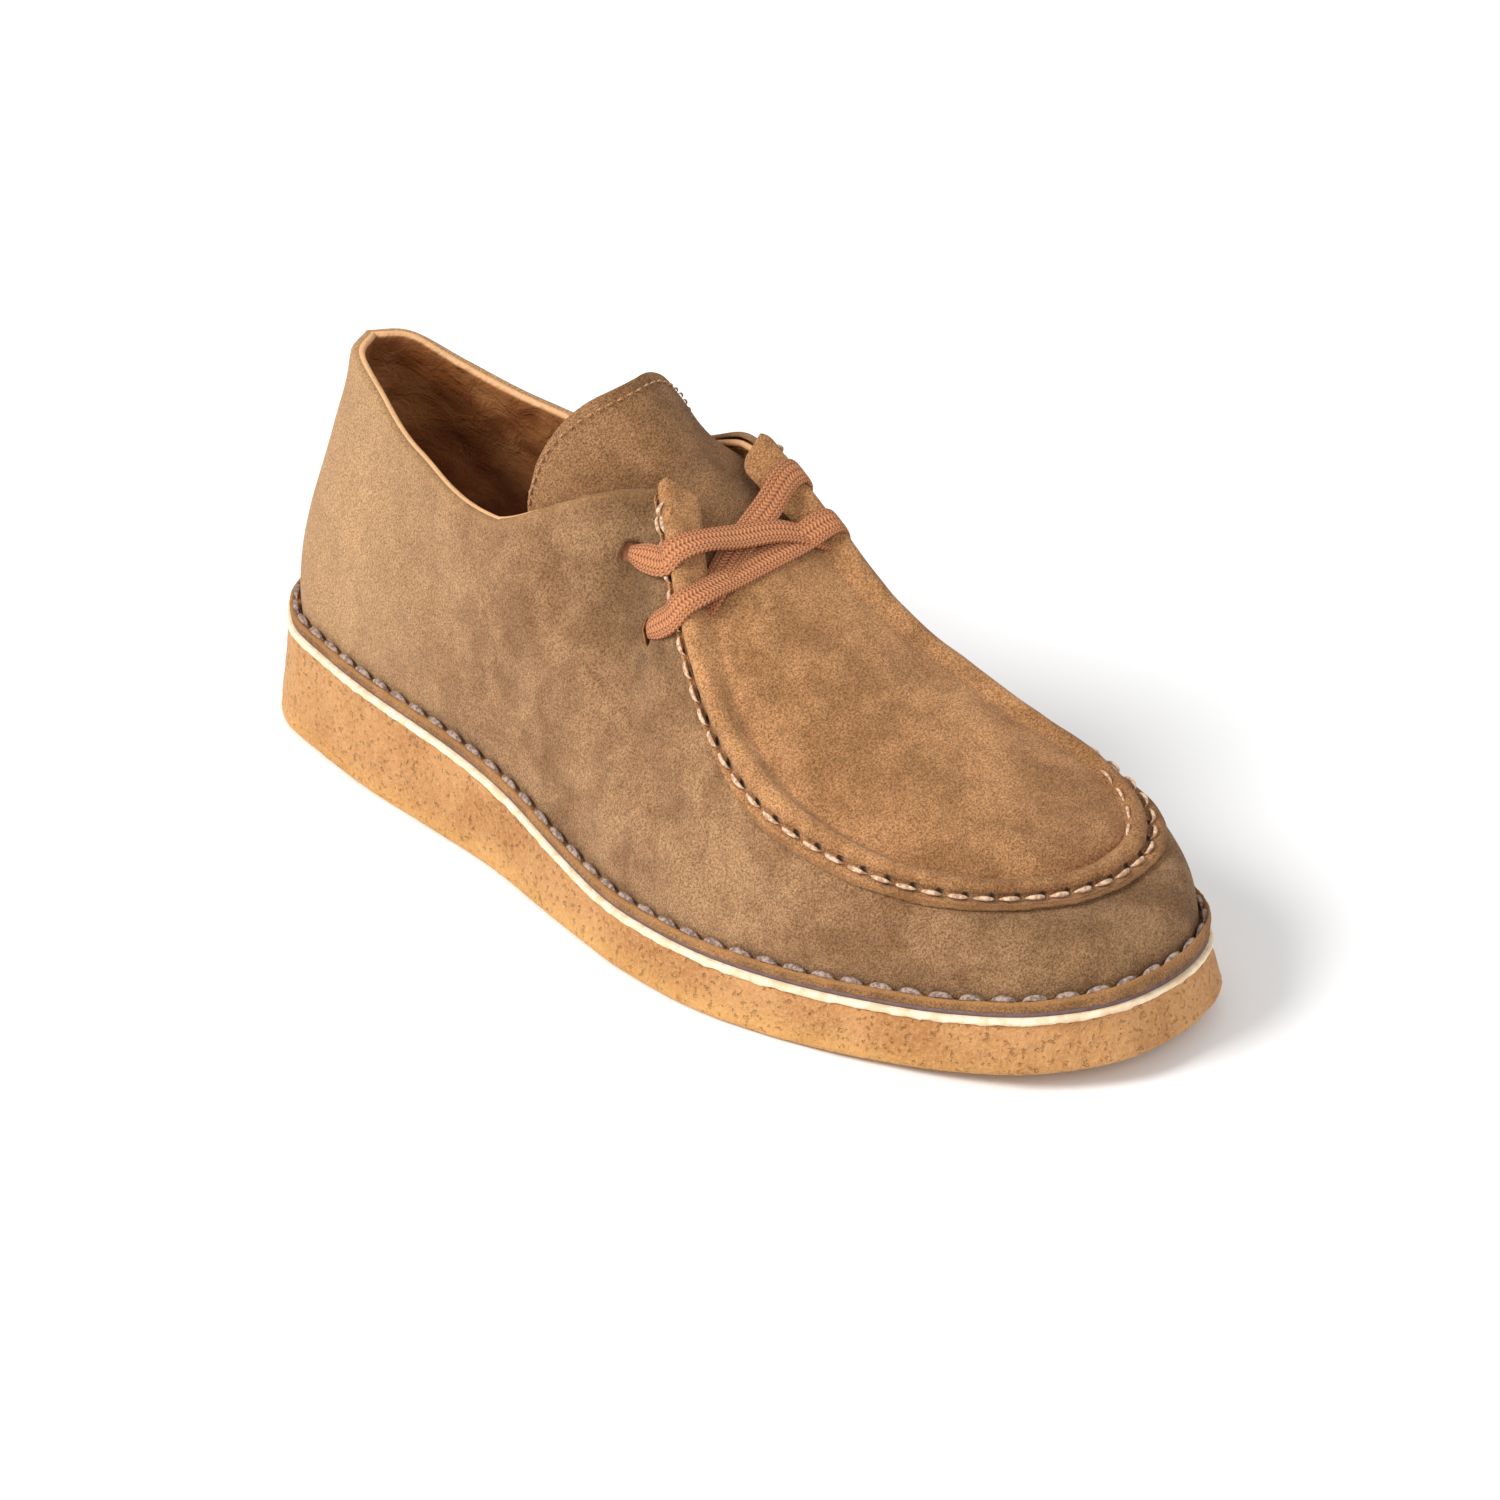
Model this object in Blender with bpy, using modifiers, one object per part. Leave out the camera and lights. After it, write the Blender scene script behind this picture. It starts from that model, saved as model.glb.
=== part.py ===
"""A right shoe: moc toe suede lace shoe on a crepe wedge sole.

Metres, +Z up, toe along -Y, heel along +Y. The wearer's right side, the lateral one, is along -X.
The origin lies under the middle of the sole, on the floor.

A station is a share from 0 at the heel tip to 1 at the toe tip, the same for every loft, so pieces
that meet have matching facets. Along and across in the tables are shares of the sole's length and
of its width there, with the lateral side negative.
"""
import math
from collections import namedtuple

import bmesh
import bpy
import numpy as np
from mathutils import Matrix, Vector

# Driving sizes
SOLE_LENGTH = 0.300
BALL_WIDTH = 0.1112
HEEL_WIDTH = 0.078
CREPE_AT_HEEL = 0.0284
CREPE_AT_BALL = 0.0130
CREPE_AT_TOE = 0.0138
CREPE_EDGE_ROUND = 0.0022
CREPE_FLARE = 0.0020
CREPE_TOP_INSET = 0.0010
TOE_SPRING = 0.0061
MIDSOLE_THICKNESS = 0.0020
WELT_THICKNESS = 0.0034
WELT_INSET = 0.0016
UPPER_INSET = 0.0046
UPPER_WALL = 0.0018
HEEL_RISE = 0.0775
LOW_RISE = 0.0672
INSTEP_RISE = 0.0928
TOE_RISE = 0.0185
RIDGE_WIDTH = 0.0065
RIDGE_HEIGHT = 0.0050
CROWN = 0.095
APRON_THICKNESS = 0.0016
APRON_OVERLAP = 0.0040
INSOLE_THICKNESS = 0.0030
TONGUE_THICKNESS = 0.0026
TONGUE_RISE = 0.0360
TONGUE_WING = 0.0360
TONGUE_SINK = 1.3
BACKSTAY_WIDTH = 0.0120
BACKSTAY_THICKNESS = 0.0010
LACE_WIDTH = 0.0080
LACE_THICKNESS = 0.0018
LACE_GAP = 0.0014
LACE_GAP_ON_SEAM = 0.0017
LACE_HOLE_DIAMETER = 0.0044
CLEARANCE = 0.0003

# Shares of the sole's length
HEEL_ZONE = 0.30
BALL_ZONE = 0.60
WAIST_END = 0.56
SPRING_START = 0.70

# Stations
THROAT = 0.50
APRON_TOP = 0.555
STEP_WIDTH = 0.004
TONGUE_ROOT = 0.62
FULL_OVERLAP = 0.12

LATERAL = -1
MEDIAL = 1
SIDES = (LATERAL, MEDIAL)

# Colours and roughness
SUEDE = ((0.36, 0.21, 0.11), 0.95)
APRON_SUEDE = ((0.34, 0.19, 0.09), 0.95)
CREPE = ((0.68, 0.42, 0.18), 0.75)
CREAM = ((0.90, 0.78, 0.60), 0.80)
FOOTBED = ((0.72, 0.55, 0.42), 0.80)
BRAID = ((0.42, 0.17, 0.08), 0.90)

OutlineRow = namedtuple("OutlineRow", "along across")
OUTLINE = (
    OutlineRow(0.000, -0.013),
    OutlineRow(0.014, -0.223),
    OutlineRow(0.053, -0.373),
    OutlineRow(0.120, -0.446),
    OutlineRow(0.195, -0.495),
    OutlineRow(0.288, -0.526),
    OutlineRow(0.381, -0.522),
    OutlineRow(0.480, -0.502),
    OutlineRow(0.581, -0.496),
    OutlineRow(0.662, -0.496),
    OutlineRow(0.742, -0.454),
    OutlineRow(0.816, -0.390),
    OutlineRow(0.890, -0.308),
    OutlineRow(0.953, -0.195),
    OutlineRow(0.993, -0.036),
    OutlineRow(1.000, 0.103),
    OutlineRow(0.994, 0.216),
    OutlineRow(0.975, 0.328),
    OutlineRow(0.920, 0.436),
    OutlineRow(0.836, 0.486),
    OutlineRow(0.752, 0.500),
    OutlineRow(0.669, 0.472),
    OutlineRow(0.569, 0.404),
    OutlineRow(0.469, 0.377),
    OutlineRow(0.386, 0.400),
    OutlineRow(0.286, 0.454),
    OutlineRow(0.186, 0.495),
    OutlineRow(0.102, 0.469),
    OutlineRow(0.042, 0.353),
    OutlineRow(0.009, 0.173),
)

# How much of the heel's extra thickness is left, along the sole
WedgeRow = namedtuple("WedgeRow", "along share")
WEDGE = (
    WedgeRow(0.000, 1.000),
    WedgeRow(0.135, 0.880),
    WedgeRow(0.252, 0.800),
    WedgeRow(0.336, 0.665),
    WedgeRow(0.402, 0.458),
    WedgeRow(0.469, 0.216),
    WedgeRow(0.530, 0.030),
    WedgeRow(0.560, 0.000),
)

# Top edge of the wall. Rise is a share: from LOW_RISE to HEEL_RISE behind the collar's low point, from
# LOW_RISE to INSTEP_RISE up to the throat, and from TOE_RISE to INSTEP_RISE along the seam to the toe.
EdgeRow = namedtuple("EdgeRow", "station lat_along lat_across lat_rise med_along med_across med_rise")
LOW_POINT = 0.40
COLLAR = (
    EdgeRow(0.000, 0.060, 0.008, 1.000, 0.060, 0.008, 1.000),
    EdgeRow(0.100, 0.084, -0.146, 1.030, 0.083, 0.140, 0.900),
    EdgeRow(0.200, 0.136, -0.242, 0.810, 0.134, 0.229, 0.400),
    EdgeRow(0.300, 0.216, -0.335, 0.160, 0.216, 0.300, 0.000),
    EdgeRow(0.400, 0.336, -0.392, 0.020, 0.329, 0.360, 0.070),
    EdgeRow(0.450, 0.409, -0.302, 0.630, 0.402, 0.350, 0.570),
    EdgeRow(0.475, 0.444, -0.215, 0.890, 0.439, 0.322, 0.855),
    EdgeRow(0.500, 0.476, -0.118, 1.000, 0.472, 0.278, 1.000),
)
SEAM = (
    EdgeRow(0.500, 0.476, -0.118, 1.000, 0.472, 0.278, 1.000),
    EdgeRow(0.550, 0.559, -0.250, 0.668, 0.562, 0.256, 0.735),
    EdgeRow(0.600, 0.629, -0.329, 0.428, 0.636, 0.273, 0.517),
    EdgeRow(0.650, 0.692, -0.354, 0.285, 0.702, 0.324, 0.370),
    EdgeRow(0.700, 0.752, -0.329, 0.195, 0.766, 0.367, 0.259),
    EdgeRow(0.750, 0.801, -0.286, 0.134, 0.816, 0.395, 0.180),
    EdgeRow(0.800, 0.841, -0.223, 0.087, 0.854, 0.392, 0.113),
    EdgeRow(0.850, 0.874, -0.144, 0.052, 0.881, 0.360, 0.070),
    EdgeRow(0.900, 0.896, -0.059, 0.026, 0.902, 0.308, 0.039),
    EdgeRow(0.950, 0.912, 0.032, 0.008, 0.914, 0.246, 0.013),
    EdgeRow(1.000, 0.919, 0.134, 0.000, 0.919, 0.134, 0.000),
)

# Bulge of the wall. Rises are shares of the wall's height, outs are shares of the ball width.
WallRow = namedtuple("WallRow", "station foot_rise foot_out top_drop top_out")
WALL = (
    WallRow(0.00, 0.33, 0.010, 0.33, 0.048),
    WallRow(0.10, 0.33, 0.012, 0.33, 0.044),
    WallRow(0.20, 0.33, 0.014, 0.33, 0.045),
    WallRow(0.40, 0.33, 0.018, 0.33, 0.040),
    WallRow(0.50, 0.32, 0.018, 0.25, 0.120),
    WallRow(0.60, 0.35, 0.027, 0.25, 0.075),
    WallRow(0.70, 0.40, 0.027, 0.20, 0.050),
    WallRow(0.85, 0.50, 0.022, 0.06, 0.082),
    WallRow(1.00, 0.60, 0.020, 0.04, 0.095),
)

# Raised seam: shares of its width and height, and its tilt in degrees up toward the middle
RidgeRow = namedtuple("RidgeRow", "station width outer inner tilt")
RIDGE = (
    RidgeRow(0.500, 1.10, 0.30, 2.10, 38),
    RidgeRow(0.530, 1.20, 0.58, 1.60, 35),
    RidgeRow(0.551, 1.30, 0.70, 1.30, 33),
    RidgeRow(0.555, 1.30, 0.62, 1.10, 33),
    RidgeRow(0.600, 1.30, 0.62, 0.85, 30),
    RidgeRow(0.700, 1.10, 0.50, 0.55, 22),
    RidgeRow(0.850, 0.92, 0.36, 0.34, 15),
    RidgeRow(1.000, 0.92, 0.34, 0.28, 12),
)
# Section of the raised seam: share across it, and share of the outer flank's height
RIDGE_SECTION = ((0.14, 0.60), (0.42, 1.00), (0.68, 0.82))

# Free part of the tongue: moves of its middle and of its two edges, as shares of its rise
TongueRow = namedtuple("TongueRow", "share x y z lat_x lat_y lat_z med_x med_y med_z")
TONGUE = (
    TongueRow(0.00, 0.00, 0.00, 0.00, 0.00, 0.00, 0.00, 0.00, 0.00, 0.00),
    TongueRow(0.30, -0.03, 0.20, 0.20, -0.05, 0.55, 0.22, -0.07, 0.30, 0.08),
    TongueRow(0.60, -0.06, 0.40, 0.42, 0.00, 0.95, 0.52, -0.17, 0.50, 0.17),
    TongueRow(0.80, -0.09, 0.54, 0.58, 0.08, 1.00, 0.84, -0.25, 0.55, 0.24),
    TongueRow(1.00, -0.12, 0.67, 0.74, 0.20, 1.02, 1.10, -0.33, 0.60, 0.31),
)

# Lace holes: station, and distance below the wall's top edge. Crests: where a lace crosses the seam.
LOWER_HOLES = {LATERAL: (0.524, 0.018), MEDIAL: (0.536, 0.015)}
UPPER_HOLES = {LATERAL: (0.496, 0.016), MEDIAL: (0.508, 0.015)}
LOWER_CRESTS = {LATERAL: 0.545, MEDIAL: 0.547}
UPPER_CRESTS = {LATERAL: 0.524, MEDIAL: 0.522}

WALL_ROWS = (0.0, 0.10, 0.25, 0.42, 0.60, 0.77, 0.90, 1.0)
CROWN_COLUMNS = 8
HEEL_STEPS = 17
THROAT_STEPS = 3
TOE_STEPS = 14


def smooth(keys, values, at):
    """Cubic curve through the rows of a table."""
    keys = np.asarray(keys, float)
    values = np.asarray(values, float)
    slopes = np.gradient(values, keys, axis=0)
    at = min(max(at, keys[0]), keys[-1])
    row = min(int(np.searchsorted(keys, at, side="right")) - 1, len(keys) - 2)
    step = keys[row + 1] - keys[row]
    t = (at - keys[row]) / step
    start = (2 * t**3 - 3 * t**2 + 1) * values[row] + (t**3 - 2 * t**2 + t) * step * slopes[row]
    end = (3 * t**2 - 2 * t**3) * values[row + 1] + (t**3 - t**2) * step * slopes[row + 1]
    return start + end


def table(rows, at):
    """A row read between the rows of a table, without its first column."""
    return smooth([row[0] for row in rows], [row[1:] for row in rows], at)


def place(along, across):
    """Plan point at shares of the sole's length and of its width there."""
    blend = min(max((along - HEEL_ZONE) / (BALL_ZONE - HEEL_ZONE), 0.0), 1.0)
    width = HEEL_WIDTH + (BALL_WIDTH - HEEL_WIDTH) * blend * blend * (3 - 2 * blend)
    return np.array([across * width, (0.5 - along) * SOLE_LENGTH])


def sole_outline(count=720):
    """Closed outline from the heel tip round the lateral side, exactly as long and wide as named."""
    rows = [place(*row) for row in OUTLINE]
    loop = np.array(rows[-2:] + rows + rows[:3])
    chords = np.linalg.norm(np.diff(loop, axis=0), axis=1)
    keys = np.concatenate(([0.0], np.cumsum(chords)))
    start = keys[2]
    length = keys[len(rows) + 2] - start
    curve = np.array([smooth(keys, loop, start + length * i / count) for i in range(count)])
    low = curve.min(axis=0)
    high = curve.max(axis=0)
    return (curve - (low + high) / 2) * np.array([BALL_WIDTH, SOLE_LENGTH]) / (high - low)


OUTLINE_CURVE = sole_outline()


def side_curves(inset):
    """The outline moved inward, as one curve from heel tip to toe tip for each side."""
    tangents = np.roll(OUTLINE_CURVE, -1, axis=0) - np.roll(OUTLINE_CURVE, 1, axis=0)
    tangents /= np.linalg.norm(tangents, axis=1)[:, None]
    curve = OUTLINE_CURVE - inset * np.stack((tangents[:, 1], -tangents[:, 0]), axis=1)
    curve = np.roll(curve, -int(curve[:, 1].argmax()), axis=0)
    toe = int(curve[:, 1].argmin())
    return {LATERAL: curve[:toe + 1], MEDIAL: np.concatenate((curve[toe:], curve[:1]))[::-1]}


CURVES = {}


def edge(inset, side, station):
    """Plan point of the outline moved inward, at a station."""
    if inset not in CURVES:
        CURVES[inset] = side_curves(inset)
    curve = CURVES[inset][side]
    heel = curve[0, 1]
    toe = curve[-1, 1]
    y = heel + (toe - heel) * (1 - math.cos(math.pi * station)) / 2
    x = np.interp(-y, -curve[:, 1], curve[:, 0])
    return np.array([x, y])


def tread_height(y):
    """Height of the outsole's bottom above the floor: the toe spring."""
    along = 0.5 - y / SOLE_LENGTH
    return TOE_SPRING * max((along - SPRING_START) / (1 - SPRING_START), 0.0) ** 2


def crepe_top(y):
    """Height of the outsole's top: a wedge down to the waist, then nearly even."""
    along = 0.5 - y / SOLE_LENGTH
    if along < WAIST_END:
        share = table(WEDGE, along)[0]
        thickness = CREPE_AT_BALL + (CREPE_AT_HEEL - CREPE_AT_BALL) * share
    else:
        share = (along - WAIST_END) / (1 - WAIST_END)
        thickness = CREPE_AT_BALL + (CREPE_AT_TOE - CREPE_AT_BALL) * share
    return tread_height(y) + thickness


def midsole_bottom(y):
    return crepe_top(y) + CLEARANCE


def midsole_top(y):
    return midsole_bottom(y) + MIDSOLE_THICKNESS


def seat(y):
    """Height on which upper, welt and insole stand."""
    return midsole_top(y) + CLEARANCE


def foot_point(side, station):
    """Lower end of the wall."""
    x, y = edge(UPPER_INSET, side, station)
    return np.array([x, y, seat(y)])


def top_edge_row(rows, side, station):
    """Point of the wall's top edge for one row of a table."""
    column = 1 if side == LATERAL else 4
    share = smooth([row.station for row in rows], [row[column + 2] for row in rows], station)
    along = smooth([row.station for row in rows], [row[column] for row in rows], station)
    across = smooth([row.station for row in rows], [row[column + 1] for row in rows], station)
    if rows is SEAM:
        rise = TOE_RISE + share * (INSTEP_RISE - TOE_RISE)
    elif station <= LOW_POINT:
        rise = LOW_RISE + share * (HEEL_RISE - LOW_RISE)
    else:
        rise = LOW_RISE + share * (INSTEP_RISE - LOW_RISE)
    x, y = place(along, across)
    return np.array([x, y, foot_point(side, station)[2] + rise])


def top_point(side, station):
    """Upper end of the wall: the collar's edge, and the foot of the raised seam in front of it."""
    if station < 0:
        return top_edge_row(COLLAR, -side, -station)
    if station > 1:
        return top_edge_row(SEAM, -side, 2 - station)
    if station < THROAT:
        return top_edge_row(COLLAR, side, station)
    return top_edge_row(SEAM, side, station)


def outline_normal(side, station):
    """Plan direction pointing out of the sole."""
    step = 0.004
    before = edge(UPPER_INSET, side, station - step) if station > step else edge(UPPER_INSET, -side, step)
    after = edge(UPPER_INSET, side, station + step) if station < 1 - step else edge(UPPER_INSET, -side, 1 - step)
    tangent = after - before
    tangent /= np.linalg.norm(tangent)
    return side * np.array([-tangent[1], tangent[0], 0.0])


def wall_point(side, station, share):
    """Point of the outer surface, from the wall's foot to its top edge."""
    foot_rise, foot_out, top_drop, top_out = table(WALL, station)
    foot = foot_point(side, station)
    top = top_point(side, station)
    out = outline_normal(side, station)
    height = top[2] - foot[2]
    low = foot + out * foot_out * BALL_WIDTH + np.array([0, 0, foot_rise * height])
    high = top + out * top_out * BALL_WIDTH - np.array([0, 0, top_drop * height])
    rest = 1 - share
    return rest**3 * foot + 3 * rest**2 * share * low + 3 * rest * share**2 * high + share**3 * top


def wall_below(side, station, distance):
    """Point of the outer surface at a distance down the wall from its top edge."""
    samples = [wall_point(side, station, share) for share in np.linspace(1, 0, 41)]
    lengths = np.concatenate(([0.0], np.cumsum(np.linalg.norm(np.diff(samples, axis=0), axis=1))))
    return np.array([np.interp(distance, lengths, [point[axis] for point in samples]) for axis in range(3)])


def wall_normal(side, station, distance):
    """Direction out of the wall, at a distance below its top edge."""
    step = 0.002
    spot = wall_below(side, station, distance)
    down = wall_below(side, station, distance + step) - spot
    ahead = wall_below(side, station + step * 3, distance) - spot
    normal = np.cross(down, ahead)
    normal /= np.linalg.norm(normal)
    return normal if normal[0] * side > 0 else -normal


def ridge_frame(side, station):
    """Directions across the raised seam, toward the middle, and out of it."""
    step = 0.01
    before = top_point(side, max(station - step, THROAT))
    after = top_point(side, station + step)
    tangent = (after - before)[:2]
    tangent /= np.linalg.norm(tangent)
    inward = side * np.array([tangent[1], -tangent[0], 0.0])
    tilt = math.radians(table(RIDGE, station)[3])
    up = np.array([0.0, 0.0, 1.0])
    return inward * math.cos(tilt) + up * math.sin(tilt), up * math.cos(tilt) - inward * math.sin(tilt)


def ridge_points(side, station):
    """Section of the raised seam, from past its foot on the wall to the groove beside the middle."""
    width, outer, inner, _ = table(RIDGE, station)
    over, out = ridge_frame(side, station)
    foot = top_point(side, station)
    reach = over * width * RIDGE_WIDTH
    points = [foot + reach * across + out * rise * outer * RIDGE_HEIGHT for across, rise in RIDGE_SECTION]
    points.append(foot + reach + out * (outer - inner) * RIDGE_HEIGHT)
    return points


def crown_point(station, share):
    """Point between the two grooves, on the crown of the forefoot."""
    lateral = ridge_points(LATERAL, station)[-1]
    medial = ridge_points(MEDIAL, station)[-1]
    bow = 1 - abs(2 * share - 1) ** 2.2
    point = lateral + (medial - lateral) * share
    point[2] += CROWN * np.linalg.norm(medial - lateral) * bow
    return point


def stations():
    """Stations of every loft, with one at the throat's top and one at the apron's top edge."""
    heel = [THROAT * i / HEEL_STEPS for i in range(HEEL_STEPS)]
    throat = [THROAT + (APRON_TOP - STEP_WIDTH - THROAT) * i / THROAT_STEPS for i in range(THROAT_STEPS + 1)]
    toe = [APRON_TOP + (1 - APRON_TOP) * i / TOE_STEPS for i in range(TOE_STEPS + 1)]
    return heel + throat + toe


STATIONS = stations()
CENTRE = Vector((0, 0, SOLE_LENGTH * 0.13))


def principled(name, look):
    colour, roughness = look
    material = bpy.data.materials.new(name)
    material.use_nodes = True
    shader = material.node_tree.nodes["Principled BSDF"]
    shader.inputs["Base Color"].default_value = (*colour, 1)
    shader.inputs["Roughness"].default_value = roughness
    shader.inputs["Metallic"].default_value = 0
    material.diffuse_color = (*colour, 1)
    return material


def clear_scene():
    for item in list(bpy.data.objects):
        bpy.data.objects.remove(item, do_unlink=True)


def new_collection(name):
    collection = bpy.data.collections.new(name)
    bpy.context.scene.collection.children.link(collection)
    return collection


def finish_mesh(name, form, look, collection):
    """Object from a bmesh, shaded smooth."""
    mesh = bpy.data.meshes.new(name)
    form.to_mesh(mesh)
    form.free()
    mesh.shade_smooth()
    mesh.set_sharp_from_angle(angle=math.radians(50))
    item = bpy.data.objects.new(name, mesh)
    item.data.materials.append(principled(name, look))
    collection.objects.link(item)
    return item


def ring(form, inset, height):
    """Closed ring of vertices round the outline: lateral side to the toe, then back."""
    points = [edge(inset, LATERAL, station) for station in STATIONS]
    points += [edge(inset, MEDIAL, station) for station in STATIONS[-2:0:-1]]
    return [form.verts.new((x, y, height(y))) for x, y in points]


def bridge(form, first, second):
    """Faces between two closed rings."""
    count = len(first)
    for i in range(count):
        after = (i + 1) % count
        form.faces.new((first[i], first[after], second[after], second[i]))


def cap(form, loop):
    """Faces across a closed ring, between its lateral and medial vertices."""
    steps = len(loop) // 2
    form.faces.new((loop[0], loop[1], loop[-1]))
    for i in range(1, steps - 1):
        form.faces.new((loop[i], loop[i + 1], loop[-i - 1], loop[-i]))
    form.faces.new((loop[steps - 1], loop[steps], loop[steps + 1]))


def layer(name, rings, look, collection):
    """Closed solid from rings, each with its inset and its height as a function of y."""
    form = bmesh.new()
    loops = [ring(form, inset, height) for inset, height in rings]
    for low, high in zip(loops, loops[1:]):
        bridge(form, low, high)
    cap(form, loops[0])
    cap(form, loops[-1])
    bmesh.ops.recalc_face_normals(form, faces=form.faces)
    return finish_mesh(name, form, look, collection)


def outsole(collection):
    """Crepe wedge with a rounded lower edge."""
    rings = (
        (CREPE_EDGE_ROUND - CREPE_FLARE, tread_height),
        (CREPE_EDGE_ROUND * 0.3 - CREPE_FLARE, lambda y: tread_height(y) + CREPE_EDGE_ROUND * 0.3),
        (-CREPE_FLARE, lambda y: tread_height(y) + CREPE_EDGE_ROUND),
        (CREPE_TOP_INSET, crepe_top),
    )
    return layer("outsole", rings, CREPE, collection)


def midsole(collection):
    """Thin cream layer on the wedge."""
    rings = ((CREPE_TOP_INSET, midsole_bottom), (CREPE_TOP_INSET, midsole_top))
    return layer("midsole", rings, CREAM, collection)


def insole(collection):
    """Footbed inside the wall's foot."""
    inset = UPPER_INSET + UPPER_WALL + 3 * CLEARANCE
    rings = (
        (inset, seat),
        (inset, lambda y: seat(y) + INSOLE_THICKNESS * 0.7),
        (inset + INSOLE_THICKNESS * 0.4, lambda y: seat(y) + INSOLE_THICKNESS),
    )
    return layer("insole", rings, FOOTBED, collection)


def welt(collection):
    """Strip stitched down all round: its inner face follows the wall, its upper outer edge is rounded."""
    form = bmesh.new()
    low_inner = []
    top_inner = []
    for side, run in ((LATERAL, STATIONS), (MEDIAL, STATIONS[-2:0:-1])):
        for station in run:
            foot = foot_point(side, station)
            out = outline_normal(side, station)
            height = top_point(side, station)[2] - foot[2]
            shares = np.linspace(0, min(3 * WELT_THICKNESS / height, 1), 9)
            reach = max((wall_point(side, station, share) - foot) @ out for share in shares)
            spot = foot + out * (max(reach, 0) + CLEARANCE)
            low_inner.append(form.verts.new(spot))
            top_inner.append(form.verts.new(spot + np.array([0, 0, WELT_THICKNESS])))
    edge_round = WELT_THICKNESS * 0.3
    low_outer = ring(form, WELT_INSET, seat)
    side_outer = ring(form, WELT_INSET, lambda y: seat(y) + WELT_THICKNESS - edge_round)
    top_outer = ring(form, WELT_INSET + edge_round, lambda y: seat(y) + WELT_THICKNESS)
    bridge(form, low_inner, top_inner)
    bridge(form, top_inner, top_outer)
    bridge(form, top_outer, side_outer)
    bridge(form, side_outer, low_outer)
    bridge(form, low_outer, low_inner)
    bmesh.ops.recalc_face_normals(form, faces=form.faces)
    return finish_mesh("welt", form, SUEDE, collection)


def face_outward(form, centre):
    """Consistent normals on an open surface, away from a point inside it."""
    bmesh.ops.recalc_face_normals(form, faces=form.faces)
    votes = sum((face.calc_center_median() - centre).dot(face.normal) * face.calc_area() for face in form.faces)
    if votes < 0:
        bmesh.ops.reverse_faces(form, faces=form.faces)


def grow(form, distance):
    """Moves an open surface out along its normals."""
    form.normal_update()
    moves = [(vert, vert.normal.copy()) for vert in form.verts]
    for vert, normal in moves:
        vert.co += normal * distance


def solidify(item, thickness, outward):
    shell = item.modifiers.new("wall", "SOLIDIFY")
    shell.thickness = thickness
    shell.offset = 1 if outward else -1
    shell.use_even_offset = True
    shell.use_quality_normals = True
    return item


def forefoot_columns(form, side, first, lead):
    """Columns of vertices over the raised seam, each after the points that lead gives for its station."""
    columns = {}
    for i in range(first, len(STATIONS)):
        points = lead(side, STATIONS[i]) + ridge_points(side, STATIONS[i])
        columns[i] = [form.verts.new(point) for point in points]
    return columns


def stitch_columns(form, left, right):
    """Faces between two columns, as far as both reach."""
    for j in range(min(len(left), len(right)) - 1):
        corners = list(dict.fromkeys((left[j], right[j], right[j + 1], left[j + 1])))
        if len(corners) > 2:
            form.faces.new(corners)


def crown_rows(form, lateral, medial, first):
    """Faces across the forefoot between the last vertices of the two sides' columns."""
    rows = {}
    last = len(STATIONS) - 1
    for i in range(first, last):
        inner = [form.verts.new(crown_point(STATIONS[i], j / CROWN_COLUMNS)) for j in range(1, CROWN_COLUMNS)]
        rows[i] = [lateral[i][-1]] + inner + [medial[i][-1]]
    rows[last] = [lateral[last][-1]] * (CROWN_COLUMNS + 1)
    for i in range(first, last):
        stitch_columns(form, rows[i], rows[i + 1])


def upper(collection):
    """One shell: walls all round, raised seam, and the forefoot closed in front of the throat."""
    form = bmesh.new()
    last = len(STATIONS) - 1
    throat = STATIONS.index(THROAT)
    apron_top = STATIONS.index(APRON_TOP)

    def column(side, i):
        points = [wall_point(side, STATIONS[i], share) for share in WALL_ROWS]
        if i >= throat:
            points += ridge_points(side, STATIONS[i])
        return [form.verts.new(point) for point in points]

    columns = {side: {i: column(side, i) for i in range(1, last)} for side in SIDES}
    for i in (0, last):
        shared = column(LATERAL, i)
        for side in SIDES:
            columns[side][i] = shared
    for side in SIDES:
        for i in range(last):
            stitch_columns(form, columns[side][i], columns[side][i + 1])
    crown_rows(form, columns[LATERAL], columns[MEDIAL], apron_top)
    face_outward(form, CENTRE)
    return solidify(finish_mesh("upper", form, SUEDE, collection), UPPER_WALL, False)


def apron(collection):
    """Plug on the forefoot: lies over the raised seam and ends a little outside it."""
    form = bmesh.new()
    first = STATIONS.index(APRON_TOP)
    last = len(STATIONS) - 1

    def lead(side, station):
        reach = APRON_OVERLAP * min(0.3 + (station - APRON_TOP) / FULL_OVERLAP, 1.0)
        return [wall_below(side, station, reach), wall_below(side, station, reach / 2), top_point(side, station)]

    columns = {side: forefoot_columns(form, side, first, lead) for side in SIDES}
    for vert in columns[MEDIAL][last]:
        form.verts.remove(vert)
    columns[MEDIAL][last] = columns[LATERAL][last]
    for side in SIDES:
        for i in range(first, last):
            stitch_columns(form, columns[side][i], columns[side][i + 1])
    crown_rows(form, columns[LATERAL], columns[MEDIAL], first)
    face_outward(form, CENTRE)
    grow(form, CLEARANCE)
    return solidify(finish_mesh("apron", form, APRON_SUEDE, collection), APRON_THICKNESS, True)


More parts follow.
